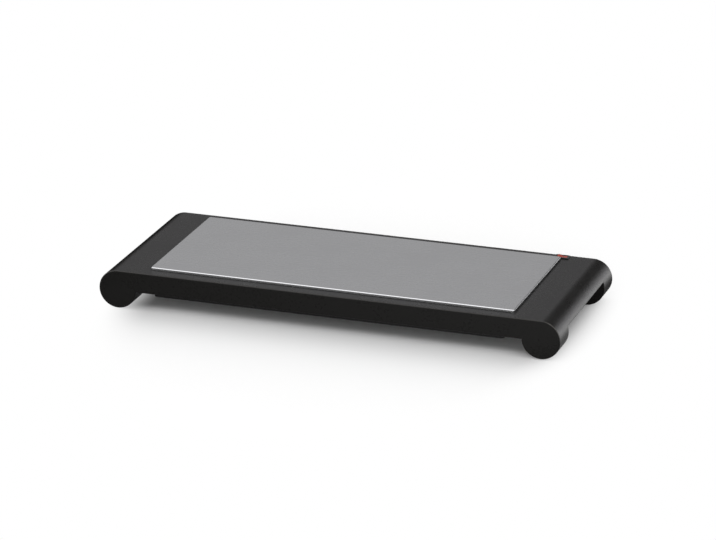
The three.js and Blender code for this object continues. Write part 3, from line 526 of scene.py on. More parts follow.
# Noise: its middle value, the detail of the pebble grain and of the brushed lines, and the cell size
# in metres, detail and roughness of the wide drift, the fine drift and the clouding
NOISE_MIDDLE = 0.5
PEBBLE_DETAIL = 2.0
LINE_DETAIL = 3.0
LINE_ROUGHNESS = 0.6
WIDE_DRIFT = (0.045, 4.0, 0.6)
FINE_DRIFT = (0.004, 3.0, 0.5)
CLOUDS = (0.06, 4.0, 0.6)

# Soft steps in the way that a surface faces, for the painted shade on edges turned down at the ends
# of a brushed sheet, the painted highlight on those at its sides and the painted highlight on upper edges of
# a moulding
END_TURN = (0.45, 0.8)
SIDE_TURN = (0.3, 0.7)
EDGE_START = (0.1, 0.4)
EDGE_END = (0.8, 0.98)
EDGE_UPPER = (0.0, 0.4)
EDGE_ENDS = (0.1, 0.4)
EDGE_STRAIGHT_SHARE = 0.35


def make_grain_group():
    """Moulded or painted surface: fine pebble grain, uneven gloss, a slight drift in colour and
    a painted highlight that makes upper edges lighter."""
    group, given, out = new_group(
        "fine_grain",
        [
            ("Color", COLOR, None),
            ("Roughness", FLOAT, 0.5),
            ("Cell Size", FLOAT, 0.0006),
            ("Depth", FLOAT, 0.00003),
            ("Drift", FLOAT, 0.15),
            ("Gloss Drift", FLOAT, 0.06),
            ("Edge Rub", FLOAT, 0.0),
        ],
        [("Color", COLOR), ("Roughness", FLOAT), ("Normal", VECTOR)],
    )
    pebble = local_noise(group, given.outputs["Cell Size"], PEBBLE_DETAIL)
    bump = node(group, "ShaderNodeBump", None, Height=pebble, Distance=given.outputs["Depth"])
    both = maths(group, "ADD", local_noise(group, *WIDE_DRIFT), local_noise(group, *FINE_DRIFT))
    centred = maths(group, "SUBTRACT", both, 2 * NOISE_MIDDLE)
    tone = maths(group, "MULTIPLY_ADD", centred, given.outputs["Drift"])
    tone.node.inputs[2].default_value = 1.0
    # Painted highlight: colour made lighter on upper edges that turn towards the front or the back, most at
    # the ends.
    normal = group.nodes.new("ShaderNodeNewGeometry").outputs["Normal"]
    facing = node(group, "ShaderNodeSeparateXYZ", None, Vector=normal).outputs
    turned = maths(group, "ABSOLUTE", facing["Y"])
    to_end = ramp(group, maths(group, "ABSOLUTE", facing["X"]), *EDGE_ENDS)
    ends = maths(group, "MULTIPLY", to_end, 1 - EDGE_STRAIGHT_SHARE)
    edge = product(
        group,
        maths(group, "ADD", ends, EDGE_STRAIGHT_SHARE),
        ramp(group, turned, *EDGE_START),
        ramp(group, turned, *EDGE_END, rising=False),
        ramp(group, facing["Z"], *EDGE_UPPER),
        given.outputs["Edge Rub"],
    )
    tone = product(group, tone, maths(group, "ADD", edge, 1.0))
    gloss = maths(group, "MULTIPLY_ADD", centred, given.outputs["Gloss Drift"])
    group.links.new(given.outputs["Roughness"], gloss.node.inputs[2])
    group.links.new(toned(group, given.outputs["Color"], tone), out.inputs["Color"])
    group.links.new(gloss, out.inputs["Roughness"])
    group.links.new(bump.outputs[0], out.inputs["Normal"])
    return group


def make_brushed_group():
    """Brushed sheet: fine lines along X in the bump, the tone and the gloss, with faint clouding, a
    painted shade on the edges turned down at both ends and a painted highlight on those turned down at the
    sides."""
    group, given, out = new_group(
        "brushed_lines",
        [
            ("Color", COLOR, None),
            ("Roughness", FLOAT, 0.3),
            ("Line Length", FLOAT, 0.05),
            ("Line Width", FLOAT, 0.0004),
            ("Depth", FLOAT, 0.00001),
            ("Streak", FLOAT, 0.12),
            ("Clouding", FLOAT, 0.08),
            ("End Shade", FLOAT, 0.0),
            ("Side Polish", FLOAT, 0.0),
        ],
        [("Color", COLOR), ("Roughness", FLOAT), ("Normal", VECTOR)],
    )
    place = group.nodes.new("ShaderNodeTexCoord").outputs["Object"]
    along = maths(group, "DIVIDE", 1.0, given.outputs["Line Length"])
    across = maths(group, "DIVIDE", 1.0, given.outputs["Line Width"])
    stretch = node(group, "ShaderNodeCombineXYZ", None, X=along, Y=across, Z=across)
    scaled = node(group, "ShaderNodeVectorMath", {"operation": "MULTIPLY"}, i0=place, i1=stretch.outputs[0])
    lines = node(
        group, "ShaderNodeTexNoise", None,
        Vector=scaled.outputs[0], Scale=1.0, Detail=LINE_DETAIL, Roughness=LINE_ROUGHNESS,
    ).outputs["Fac"]
    bump = node(group, "ShaderNodeBump", None, Height=lines, Distance=given.outputs["Depth"])
    line = maths(group, "SUBTRACT", lines, NOISE_MIDDLE)
    haze = maths(group, "SUBTRACT", local_noise(group, *CLOUDS), NOISE_MIDDLE)
    streak = maths(group, "MULTIPLY", line, given.outputs["Streak"])
    clouding = maths(group, "MULTIPLY", haze, given.outputs["Clouding"])
    both = maths(group, "ADD", streak, clouding)
    # Painted shade on edges turned down at the ends, and a painted highlight on edges turned down at the
    # sides.
    normal = group.nodes.new("ShaderNodeNewGeometry").outputs["Normal"]
    facing = node(group, "ShaderNodeSeparateXYZ", None, Vector=normal).outputs
    to_end, to_side = maths(group, "ABSOLUTE", facing["X"]), maths(group, "ABSOLUTE", facing["Y"])
    shade = product(group, ramp(group, to_end, *END_TURN), given.outputs["End Shade"])
    polish = product(group, ramp(group, to_side, *SIDE_TURN), given.outputs["Side Polish"])
    tone = product(
        group,
        maths(group, "ADD", both, 1.0),
        maths(group, "SUBTRACT", 1.0, shade),
        maths(group, "ADD", polish, 1.0),
    )
    gloss = maths(group, "ADD", given.outputs["Roughness"], both, clamp=True)
    group.links.new(toned(group, given.outputs["Color"], tone), out.inputs["Color"])
    group.links.new(gloss, out.inputs["Roughness"])
    group.links.new(bump.outputs[0], out.inputs["Normal"])
    return group


grain_group = make_grain_group()
brushed_group = make_brushed_group()


def finish(name, group, color, roughness, metallic=0.0, specular=0.5, **settings):
    """A material whose colour, gloss and normal come from one of the groups."""
    material = bpy.data.materials.new(name)
    material.use_nodes = True
    tree = material.node_tree
    shader = tree.nodes["Principled BSDF"]
    shader.inputs["Metallic"].default_value = metallic
    shader.inputs["Specular IOR Level"].default_value = specular
    effect = tree.nodes.new("ShaderNodeGroup")
    effect.node_tree = group
    effect.inputs["Color"].default_value = (*color, 1.0)
    effect.inputs["Roughness"].default_value = roughness
    for label, value in settings.items():
        effect.inputs[label.replace("_", " ").title()].default_value = value
    tree.links.new(effect.outputs["Color"], shader.inputs["Base Color"])
    tree.links.new(effect.outputs["Roughness"], shader.inputs["Roughness"])
    tree.links.new(effect.outputs["Normal"], shader.inputs["Normal"])
    return material


# The housing's upper edges carry a painted highlight.
housing_black = finish(
    "housing_black", grain_group, (0.0098, 0.0094, 0.0088), 0.29, specular=0.15,
    cell_size=0.0007, depth=0.00006, drift=0.35, gloss_drift=0.12, edge_rub=8.0,
)
# The plate's turned-down ends carry a painted shade, and its front and rear edges a painted highlight.
plate_steel = finish(
    "plate_steel", brushed_group, (0.488, 0.494, 0.494), 0.27, metallic=1.0,
    line_length=0.06, line_width=0.0003, depth=0.000004, streak=0.05, clouding=0.05,
    end_shade=0.45, side_polish=0.3,
)
cover_paint = finish(
    "cover_paint", grain_group, (0.009, 0.009, 0.009), 0.55, specular=0.2,
    cell_size=0.0011, depth=0.00007, drift=0.2, gloss_drift=0.08,
)
gasket_grey = finish(
    "gasket_grey", grain_group, (0.012, 0.012, 0.012), 0.6, specular=0.3,
    cell_size=0.0008, depth=0.00003, drift=0.2, gloss_drift=0.05,
)
pad_rubber = finish(
    "pad_rubber", grain_group, (0.02, 0.02, 0.02), 0.8, specular=0.3,
    cell_size=0.0009, depth=0.00008, drift=0.3, gloss_drift=0.05,
)
fitting_black = finish(
    "fitting_black", grain_group, (0.011, 0.011, 0.011), 0.38, specular=0.4,
    cell_size=0.0004, depth=0.00002, drift=0.2, gloss_drift=0.06,
)
bright_brass = finish(
    "bright_brass", brushed_group, (0.62, 0.45, 0.20), 0.28, metallic=1.0,
    line_length=0.006, line_width=0.0002, depth=0.000004, streak=0.15, clouding=0.1,
)
zinc_plate = finish(
    "zinc_plate", brushed_group, (0.50, 0.51, 0.51), 0.42, metallic=1.0,
    line_length=0.02, line_width=0.0006, depth=0.000006, streak=0.12, clouding=0.2,
)
screw_steel = finish(
    "screw_steel", brushed_group, (0.36, 0.36, 0.37), 0.35, metallic=1.0,
    line_length=0.001, line_width=0.0003, depth=0.000008, streak=0.15, clouding=0.2,
)
sheet_aluminium = finish(
    "sheet_aluminium", brushed_group, (0.66, 0.67, 0.68), 0.38, metallic=1.0,
    line_length=0.08, line_width=0.0008, depth=0.000006, streak=0.1, clouding=0.1,
)
element_sheath = finish(
    "element_sheath", grain_group, (0.16, 0.13, 0.115), 0.5, metallic=0.8,
    cell_size=0.0012, depth=0.00002, drift=0.7, gloss_drift=0.2,
)
fibre_mat = finish(
    "fibre_mat", grain_group, (0.76, 0.74, 0.68), 0.95,
    cell_size=0.0016, depth=0.0004, drift=0.15, gloss_drift=0.02,
)
cream_ceramic = finish(
    "cream_ceramic", grain_group, (0.62, 0.57, 0.47), 0.45,
    cell_size=0.0006, depth=0.00002, drift=0.12, gloss_drift=0.1,
)
rocker_red = finish(
    "rocker_red", grain_group, (0.36, 0.05, 0.03), 0.3,
    cell_size=0.0006, depth=0.00001, drift=0.12, gloss_drift=0.06,
)
lamp_glass = finish(
    "lamp_glass", grain_group, (0.9, 0.6, 0.45), 0.1,
    cell_size=0.0006, depth=0.00001, drift=0.1, gloss_drift=0.05,
)
brown_wire = finish(
    "brown_wire", grain_group, (0.14, 0.06, 0.03), 0.5,
    cell_size=0.0008, depth=0.00002, drift=0.2, gloss_drift=0.08,
)
blue_wire = finish(
    "blue_wire", grain_group, (0.03, 0.10, 0.34), 0.5,
    cell_size=0.0008, depth=0.00002, drift=0.2, gloss_drift=0.08,
)
green_wire = finish(
    "green_wire", grain_group, (0.18, 0.36, 0.05), 0.5,
    cell_size=0.0008, depth=0.00002, drift=0.2, gloss_drift=0.08,
)
white_sleeve = finish(
    "white_sleeve", grain_group, (0.70, 0.68, 0.62), 0.85,
    cell_size=0.0005, depth=0.00012, drift=0.15, gloss_drift=0.04,
)

# Finishes of the CAD nodes that stay as they are, by the start of their names
kept_finishes = {
    "plate_gasket": gasket_grey,
    "heat_spreader": sheet_aluminium,
    "heating_element": element_sheath,
    "element_clamp": zinc_plate,
    "insulation_mat": fibre_mat,
    "heat_shield": zinc_plate,
    "plate_clamp_bar": zinc_plate,
    "plate_nut": zinc_plate,
    "earth_lug": bright_brass,
    "thermostat": cream_ceramic,
    "thermostat_screw": screw_steel,
    "thermal_fuse": bright_brass,
    "fuse_clip": zinc_plate,
    "switch_terminal": bright_brass,
    "switch_lamp": lamp_glass,
    "wire_live": brown_wire,
    "wire_fuse": white_sleeve,
    "wire_element": white_sleeve,
    "wire_neutral": blue_wire,
    "wire_lamp": blue_wire,
    "wire_earth": green_wire,
}
for start in sorted(kept_finishes, key=len):
    for name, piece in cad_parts.items():
        if name.startswith(start):
            piece.data.materials.clear()
            piece.data.materials.append(kept_finishes[start])


# Housing: one moulding, drawn from the outline of the tray's long face
def housing_outline():
    """The long face: flat top, two rolled ends and the flat foot between them."""
    dip = math.asin((roll_z - face_foot) / ROLL_RADIUS)
    right = arc(roll_x, roll_z, ROLL_RADIUS, QUARTER, -QUARTER, ROLL_STEPS)
    right += arc(roll_x, roll_z, ROLL_RADIUS, -QUARTER, dip - 2 * QUARTER, CURL_STEPS)[1:]
    return right + [(-x, z) for x, z in reversed(right)]


def lip_point(radius):
    """A point at the lip's angle round the right roll."""
    return roll_x + radius * math.sin(LIP_ANGLE), roll_z + radius * math.cos(LIP_ANGLE)


def grip_space(side):
    """The space under a curled lip, between the front and the rear drum."""
    tip_x, tip_z = lip_point(ROLL_RADIUS + OVERRUN)
    outer_x = half_length + OVERRUN
    curl = arc(roll_x, roll_z, ROLL_RADIUS - HOUSING_WALL, QUARTER - LIP_ANGLE, QUARTER, LIP_STEPS)
    points = [(grip_wall_x, -OVERRUN), (outer_x, -OVERRUN), (outer_x, tip_z), (tip_x, tip_z)]
    points += curl + [(grip_wall_x, skin_under)]
    return drawn([(side * x, z) for x, z in points], "Y", -drum_inner_y, drum_inner_y)


def lip_bead(side):
    """The full-round edge of a lip."""
    x, z = lip_point(ROLL_RADIUS - HOUSING_WALL / 2)
    return rod("Y", (side * x, z), HOUSING_WALL / 2, -drum_inner_y - SINK, drum_inner_y + SINK)


def drum_edge(side_x, side_y):
    """The ring that rounds the edge of a drum's inner face."""
    middle = ROLL_RADIUS - DRUM_EDGE
    profile = [
        (middle + radius, drum_inner_y + DRUM_EDGE - drop)
        for radius, drop in arc(0, 0, DRUM_EDGE, QUARTER, 0, EDGE_STEPS)
    ]
    outer, beyond = ROLL_RADIUS + OVERRUN, drum_inner_y - OVERRUN
    profile += [(outer, drum_inner_y + DRUM_EDGE), (outer, beyond), (middle, beyond)]
    rings = []
    for step in range(DRUM_EDGE_STEPS + 1):
        turn = DRUM_EDGE_FROM + (DRUM_EDGE_TO - DRUM_EDGE_FROM) * step / DRUM_EDGE_STEPS
        rings.append([
            Vector((side_x * (roll_x + r * math.sin(turn)), side_y * y, roll_z + r * math.cos(turn))) * MM
            for r, y in profile
        ])
    return loft("tool", rings)


def drum_spaces(side_x, side_y):
    """The room inside a drum, and its way into the tray."""
    low_y, high_y = sorted((side_y * (drum_inner_y + HOUSING_WALL), side_y * cavity_y))
    low_x, high_x = sorted((side_x * roll_x, side_x * (cavity_x - OVERRUN)))
    drum = rod("Y", (side_x * roll_x, roll_z), ROLL_RADIUS - HOUSING_WALL, low_y, high_y, LARGE_SIDES)
    return [drum, box((low_x, low_y, ledge_top), (high_x, high_y, skin_under))]


def ribs():
    """Short ribs that carry the collar round the plate's opening."""
    foot, top, half = skin_under - RIB_DROP, skin_under + SINK, RIB_WALL / 2
    made = []
    for side in (-1, 1):
        low_x, high_x = sorted((side * (collar_x - SINK), side * (cavity_x + SINK)))
        for share in SIDE_RIB_SHARES:
            y = share * drum_inner_y
            made.append(box((low_x, y - half, foot), (high_x, y + half, top)))
        low_y, high_y = sorted((side * (collar_y - SINK), side * (cavity_y + SINK)))
        for place in (-1, 0, 1):
            x = place * MARGIN_RIB_REACH
            made.append(box((x - half, low_y, foot), (x + half, high_y, top)))
    return made


def make_housing():
    """The whole black moulding."""
    shell = drawn(
        housing_outline(), "Y", -half_depth, half_depth, HOUSING_EDGE, HOUSING_EDGE, name="housing_moulding"
    )
    spaces = [
        box((-cavity_x, -cavity_y, ledge_top), (cavity_x, cavity_y, skin_under)),
        box(
            (-cover_x - SEAT_GAP, -cavity_y, face_foot - OVERRUN),
            (cover_x + SEAT_GAP, cavity_y, ledge_top + OVERRUN),
        ),
        grip_space(-1),
        grip_space(1),
    ]
    for sx, sy in corner_signs:
        spaces += drum_spaces(sx, sy)
    shape(shell, "DIFFERENCE", spaces)
    pad_x = FLANGE_LENGTH / 2 + INLET_PAD_MARGIN
    collar = rectangle(collar_x, collar_y, PLATE_CORNER + COLLAR_WALL)
    stiffeners = [
        lip_bead(-1),
        lip_bead(1),
        drawn(collar, "Z", collar_foot, skin_under + SINK),
        box(
            (INLET_REACH - pad_x, cavity_y - INLET_PAD_WALL, cover_top + SEAT_GAP),
            (INLET_REACH + pad_x, cavity_y + SINK, skin_under + SINK),
        ),
    ]
    stiffeners += ribs()
    stiffeners += [rod("Z", place, BOSS_RADIUS, well_top, skin_under + SINK) for place in boss_places]
    shape(shell, "UNION", stiffeners)
    rebate_x = PLATE_LENGTH / 2 - GASKET_INSET + SEAT_GAP
    rebate_y = PLATE_DEPTH / 2 - GASKET_INSET + SEAT_GAP
    flange = rectangle(
        FLANGE_LENGTH / 2 + SEAT_GAP, FLANGE_HEIGHT / 2 + SEAT_GAP, FLANGE_CORNER, INLET_REACH, inlet_z
    )
    inlet_hole = rectangle(INLET_LENGTH / 2 + SEAT_GAP, INLET_HEIGHT / 2 + SEAT_GAP, x=INLET_REACH, y=inlet_z)
    switch_hole = rectangle(
        SWITCH_LENGTH / 2 + SEAT_GAP, SWITCH_DEPTH / 2 + SEAT_GAP, x=SWITCH_REACH, y=switch_y
    )
    pilot_top = recess_top + SCREW_LENGTH + OVERRUN
    openings = [
        drawn(rectangle(opening_x, opening_y, PLATE_CORNER), "Z", collar_foot - OVERRUN, frame_top + OVERRUN),
        drawn(rectangle(rebate_x, rebate_y, PLATE_CORNER), "Z", gasket_foot, frame_top + OVERRUN),
        drawn(flange, "Y", flange_y, half_depth + OVERRUN),
        drawn(inlet_hole, "Y", cavity_y - INLET_PAD_WALL - OVERRUN, half_depth),
        drawn(switch_hole, "Z", skin_under - OVERRUN, frame_top + OVERRUN),
    ]
    for place in boss_places:
        openings.append(rod("Z", place, SCREW_RADIUS + SEAT_GAP, well_top - OVERRUN, pilot_top))
    for sx, sy in corner_signs:
        pocket = rectangle(
            PAD_WIDTH / 2 + SEAT_GAP, PAD_LENGTH / 2 + SEAT_GAP, PAD_CORNER, sx * roll_x, sy * drum_middle_y
        )
        openings += [drawn(pocket, "Z", -OVERRUN, PAD_HEIGHT), drum_edge(sx, sy)]
    return shape(shell, "DIFFERENCE", openings)


ready(make_housing(), "tray", housing_black, "housing_plastic", "housing_frame")


# Heating plate
def make_plate():
    """Pressed plate with rounded edges, a turned-down skirt and six studs below."""
    outer = rectangle(PLATE_LENGTH / 2, PLATE_DEPTH / 2, PLATE_CORNER)
    inner_edge = PLATE_EDGE - PLATE_WALL
    rings = []
    for step in range(EDGE_STEPS + 1):
        turn = QUARTER * step / EDGE_STEPS
        z = plate_under - inner_edge * (1 - math.cos(turn))
        rings.append(standing(inset(outer, PLATE_WALL + inner_edge * (1 - math.sin(turn))), "Z", z))
    rings.append(standing(inset(outer, PLATE_WALL), "Z", gasket_top))
    rings.append(standing(outer, "Z", gasket_top))
    for step in range(EDGE_STEPS + 1):
        turn = QUARTER * step / EDGE_STEPS
        z = plate_top - PLATE_EDGE * (1 - math.sin(turn))
        rings.append(standing(inset(outer, PLATE_EDGE * (1 - math.cos(turn))), "Z", z))
    plate = loft("warming_plate", rings)
    stud_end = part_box("heating_plate")[0].z / MM
    studs = [rod("Z", place, STUD_RADIUS, stud_end, plate_under + SINK) for place in stud_places]
    return shape(plate, "UNION", studs)


ready(make_plate(), "tray", plate_steel, "plate_steel", "heating_plate")


# Bottom cover, screws and pads
def make_cover():
    """Pressed pan with screw wells and vent slots."""
    outer = rectangle(cover_x, cover_y, COVER_CORNER)
    pan = drawn(outer, "Z", cover_under, cover_top, low_edge=COVER_EDGE, name="bottom_pan")
    shape(pan, "DIFFERENCE", [drawn(inset(outer, COVER_WALL), "Z", cover_floor, cover_top + OVERRUN)])
    wells = [rod("Z", place, WELL_RADIUS, cover_under + SINK, well_top) for place in boss_places]
    shape(pan, "UNION", wells)
    cuts = []
    for place in boss_places:
        cuts.append(rod("Z", place, RECESS_RADIUS, cover_under - OVERRUN, recess_top))
        cuts.append(rod("Z", place, SCREW_RADIUS + SEAT_GAP, recess_top - OVERRUN, well_top + OVERRUN))
    for side in (-1, 1):
        for i in range(VENT_COUNT):
            x = side * VENT_REACH + (i - (VENT_COUNT - 1) / 2) * VENT_PITCH
            slot = rectangle(VENT_WIDTH / 2, VENT_LENGTH / 2, VENT_WIDTH / 2 - SINK, x)
            cuts.append(drawn(slot, "Z", cover_under - OVERRUN, cover_floor + OVERRUN))
    return shape(pan, "DIFFERENCE", cuts)


ready(make_cover(), "tray", cover_paint, "cover_steel", "bottom_cover")


def make_screw():
    """Pan head screw with a cross recess, drawn with the underside of its head at height zero."""
    dome = arc(HEAD_RADIUS - HEAD_ROUND, HEAD_ROUND - HEAD_HEIGHT, HEAD_ROUND, -QUARTER, 0, EDGE_STEPS)
    screw = turned("cover_screw", dome + [(HEAD_RADIUS, 0), (SCREW_RADIUS, 0), (SCREW_RADIUS, SCREW_LENGTH)])
    long, wide = CROSS_LENGTH / 2, CROSS_WIDTH / 2
    low, high = -HEAD_HEIGHT - OVERRUN, CROSS_DEPTH - HEAD_HEIGHT
    return shape(screw, "DIFFERENCE", [
        box((-long, -wide, low), (long, wide, high)),
        box((-wide, -long, low), (wide, long, high)),
    ])


def copied(make, places):
    """One new piece at each place."""
    made = []
    for place in places:
        piece = make()
        piece.data.transform(Matrix.Translation(Vector(place) * MM))
        made.append(piece)
    return made


screw_places = [(x, y, recess_top) for x, y in boss_places]
for number, piece in enumerate(copied(make_screw, screw_places), 1):
    ready(piece, "tray", screw_steel, "screw_steel", f"cover_screw_{number}")


def make_pad():
    """Rubber foot pad with rounded edges."""
    foot = rectangle(PAD_WIDTH / 2, PAD_LENGTH / 2, PAD_CORNER)
    return drawn(foot, "Z", 0, PAD_HEIGHT, low_edge=PAD_EDGE, name="rubber_pad")


pad_places = [(sx * roll_x, sy * drum_middle_y, 0) for sx, sy in corner_signs]
for number, piece in enumerate(copied(make_pad, pad_places), 1):
    ready(piece, "tray", pad_rubber, "pad_rubber", f"foot_pad_{number}")


# Mains inlet
def make_inlet():
    """Inlet with a rounded flange and a six-sided socket."""
    flange = rectangle(FLANGE_LENGTH / 2, FLANGE_HEIGHT / 2, FLANGE_CORNER, INLET_REACH, inlet_z)
    body = rectangle(INLET_LENGTH / 2, INLET_HEIGHT / 2, x=INLET_REACH, y=inlet_z)
    long, high = SOCKET_LENGTH / 2, SOCKET_HEIGHT / 2
    corners = [
        (-long, -high), (long, -high), (long, high - SOCKET_CHAMFER),
        (long - SOCKET_CHAMFER, high), (SOCKET_CHAMFER - long, high), (-long, high - SOCKET_CHAMFER),
    ]
    socket = rounded([(INLET_REACH + x, inlet_z + z) for x, z in corners], SOCKET_CORNER)
    inlet = drawn(flange, "Y", flange_y, inlet_face_y, high_edge=FLANGE_EDGE, name="mains_inlet")
    shape(inlet, "UNION", [drawn(body, "Y", inlet_rear_y, flange_y + SINK)])
    floor_y = inlet_face_y - SOCKET_DEPTH
    cuts = [drawn(socket, "Y", floor_y, inlet_face_y + OVERRUN)]
    half_x, half_z = BLADE_WIDTH / 2 + PRESS_GAP, BLADE_HEIGHT / 2 + PRESS_GAP
    for x, z in blade_places.values():
        low = (x - half_x, inlet_rear_y - OVERRUN, z - half_z)
        cuts.append(box(low, (x + half_x, floor_y + OVERRUN, z + half_z)))
    return shape(inlet, "DIFFERENCE", cuts)


blade_places = {
    "live": (INLET_REACH - BLADE_SPACING, inlet_z - BLADE_OFFSET),
    "neutral": (INLET_REACH + BLADE_SPACING, inlet_z - BLADE_OFFSET),
    "earth": (INLET_REACH, inlet_z + BLADE_OFFSET),
}
ready(make_inlet(), "tray", fitting_black, "fitting_plastic", "inlet_body")
for name, (x, z) in blade_places.items():
    blade = drawn(
        rectangle(BLADE_WIDTH / 2, BLADE_HEIGHT / 2, BLADE_EDGE, x, z), "Y",
        inlet_rear_y - BLADE_TAB, inlet_face_y - BLADE_SUNK, high_edge=BLADE_EDGE, name=f"{name}_blade",
    )
    ready(blade, "tray", bright_brass, "fitting_brass", f"inlet_pin_{name}")


# Rocker switch
def make_switch():
    """Switch body with a rounded bezel and an open pocket."""
    bezel = rectangle(BEZEL_LENGTH / 2, BEZEL_DEPTH / 2, BEZEL_CORNER, SWITCH_REACH, switch_y)
    bezel_top = frame_top + BEZEL_HEIGHT
    body = drawn(bezel, "Z", frame_top, bezel_top, high_edge=BEZEL_EDGE, name="switch_frame")
    casing = rectangle(SWITCH_LENGTH / 2, SWITCH_DEPTH / 2, x=SWITCH_REACH, y=switch_y)
    shape(body, "UNION", [drawn(casing, "Z", frame_top - SWITCH_DROP, frame_top + SINK)])
    pocket = rectangle(POCKET_LENGTH / 2, POCKET_DEPTH / 2, POCKET_CORNER, SWITCH_REACH, switch_y)
    half = SWITCH_DEPTH / 2 + OVERRUN
    floor = frame_top - SWITCH_DROP
    cuts = [
        drawn(pocket, "Z", pivot_z - POCKET_DROP, bezel_top + OVERRUN),
        rod("Y", (SWITCH_REACH, pivot_z), TRUNNION_RADIUS + TRUNNION_GAP, switch_y - half, switch_y + half),
    ]
    for side in (-1, 0, 1):
        slot = rectangle(
            TERMINAL_WALL / 2 + PRESS_GAP, TERMINAL_WIDTH / 2 + PRESS_GAP,
            x=SWITCH_REACH + side * TERMINAL_SPACING, y=switch_y,
        )
        cuts.append(drawn(slot, "Z", floor - OVERRUN, floor + TERMINAL_SUNK + PRESS_GAP))
    return shape(body, "DIFFERENCE", cuts)


def make_rocker():
    """Red rocker with a shallow valley across its top, drawn level about its pivot and then tilted."""
    half = ROCKER_LENGTH / 2
    side = [
        (-half, -ROCKER_SKIRT), (half, -ROCKER_SKIRT),
        (half, ROCKER_END), (0, ROCKER_MIDDLE), (-half, ROCKER_END),
    ]
    depth = ROCKER_DEPTH / 2
    rocker = drawn(
        rounded(side, ROCKER_CORNER), "Y", -depth, depth, ROCKER_EDGE, ROCKER_EDGE, name="red_rocker"
    )
    pin_reach = depth + TRUNNION_REACH
    shape(rocker, "UNION", [
        rod("Y", (0, 0), TRUNNION_RADIUS + ROCKER_WALL, -depth + ROCKER_EDGE, depth - ROCKER_EDGE),
        rod("Y", (0, 0), TRUNNION_RADIUS, -pin_reach, pin_reach),
    ])
    inner = depth - ROCKER_WALL
    drop = ROCKER_WALL
    hollow = [
        (-half + drop, -ROCKER_END), (half - drop, -ROCKER_END), (half - drop, ROCKER_END - drop),
        (0, ROCKER_MIDDLE - drop), (-half + drop, ROCKER_END - drop),
    ]
    shape(rocker, "DIFFERENCE", [drawn(hollow, "Y", -inner, inner)])
    place = Matrix.Translation(Vector((SWITCH_REACH, switch_y, pivot_z)) * MM)
    rocker.data.transform(place @ Matrix.Rotation(ROCKER_TILT, 4, "Y"))
    return rocker


ready(make_switch(), "tray", fitting_black, "fitting_plastic", "switch_body")
ready(make_rocker(), "rocker", rocker_red, "rocker_red", "switch_rocker")


# Studio: camera, surroundings and floor
def direction(azimuth, elevation):
    """The way from the object to an eye at these angles."""
    return Vector((
        math.sin(azimuth) * math.cos(elevation),
        -math.cos(azimuth) * math.cos(elevation),
        math.sin(elevation),
    ))


def make_camera():
    """The photograph's camera."""
    data = bpy.data.cameras.new("camera")
    data.sensor_width = SENSOR_WIDTH
    data.lens = FOCAL_PIXELS * SENSOR_WIDTH / PHOTO_WIDTH
    data.clip_start, data.clip_end = CAMERA_CLIP
    camera = bpy.data.objects.new("camera", data)
    bpy.context.scene.collection.objects.link(camera)
    back = direction(CAMERA_AZIMUTH + CAMERA_YAW, CAMERA_ELEVATION + CAMERA_PITCH)
    right = (-back).cross(Vector((0, 0, 1))).normalized()
    turn = Matrix((right, back.cross(right), back)).transposed().to_4x4()
    place = direction(CAMERA_AZIMUTH, CAMERA_ELEVATION) * CAMERA_DISTANCE * MM
    camera.matrix_world = Matrix.Translation(place) @ turn
    bpy.context.scene.camera = camera


MATT, GLOW, SKY = "ShaderNodeBsdfDiffuse", "ShaderNodeEmission", "ShaderNodeBackground"


def plain(tree, kind, level, color=(1.0, 1.0, 1.0)):
    """A plain shader of one level, which may be a number or the output that sets a light's strength."""
    if isinstance(level, bpy.types.NodeSocket):
        return node(tree, kind, None, Color=(*color, 1), Strength=level).outputs[0]
    return node(tree, kind, None, Color=(level, level, level, 1)).outputs[0]


def mixed(tree, share, first, second):
    """One shader fading into another."""
    return node(tree, "ShaderNodeMixShader", None, i0=share, i1=first, i2=second).outputs[0]


def added(tree, first, second):
    """Two shaders together."""
    return node(tree, "ShaderNodeAddShader", None, i0=first, i1=second).outputs[0]


def reflected_sky(tree, way):
    """How bright reflections show the surroundings: a white front and ceiling, dimmer sides, and a dim
    rear with a pale panel at the left and a bright horizon at the right."""
    across, depth, height = node(tree, "ShaderNodeSeparateXYZ", None, Vector=way).outputs
    panel_side = ramp(tree, across, *PANEL_RIGHT, rising=False)
    panel = product(tree, panel_side, ramp(tree, height, *PANEL_FOOT), PANEL)
    surround = product(tree, ramp(tree, height, *SURROUND_FOOT), SURROUND)
    dim = product(tree, ramp(tree, across, *DARK_LEFT), maths(tree, "ADD", panel, surround))
    horizon_side = ramp(tree, across, *HORIZON_LEFT)
    horizon = product(tree, horizon_side, ramp(tree, height, *HORIZON_TOP, rising=False), HORIZON)
    rear = product(tree, ramp(tree, depth, *REAR), maths(tree, "ADD", dim, horizon))
    front = product(tree, ramp(tree, depth, *REAR, rising=False), FRONT)
    ceiling = product(tree, ramp(tree, height, *CEILING_FOOT), CEILING)
    outward = ramp(tree, maths(tree, "ABSOLUTE", across), *SIDES_REACH)
    sides = product(tree, outward, ramp(tree, height, *SIDES_FOOT), SIDES)
    return maths(tree, "ADD", maths(tree, "ADD", rear, front), maths(tree, "ADD", ceiling, sides))


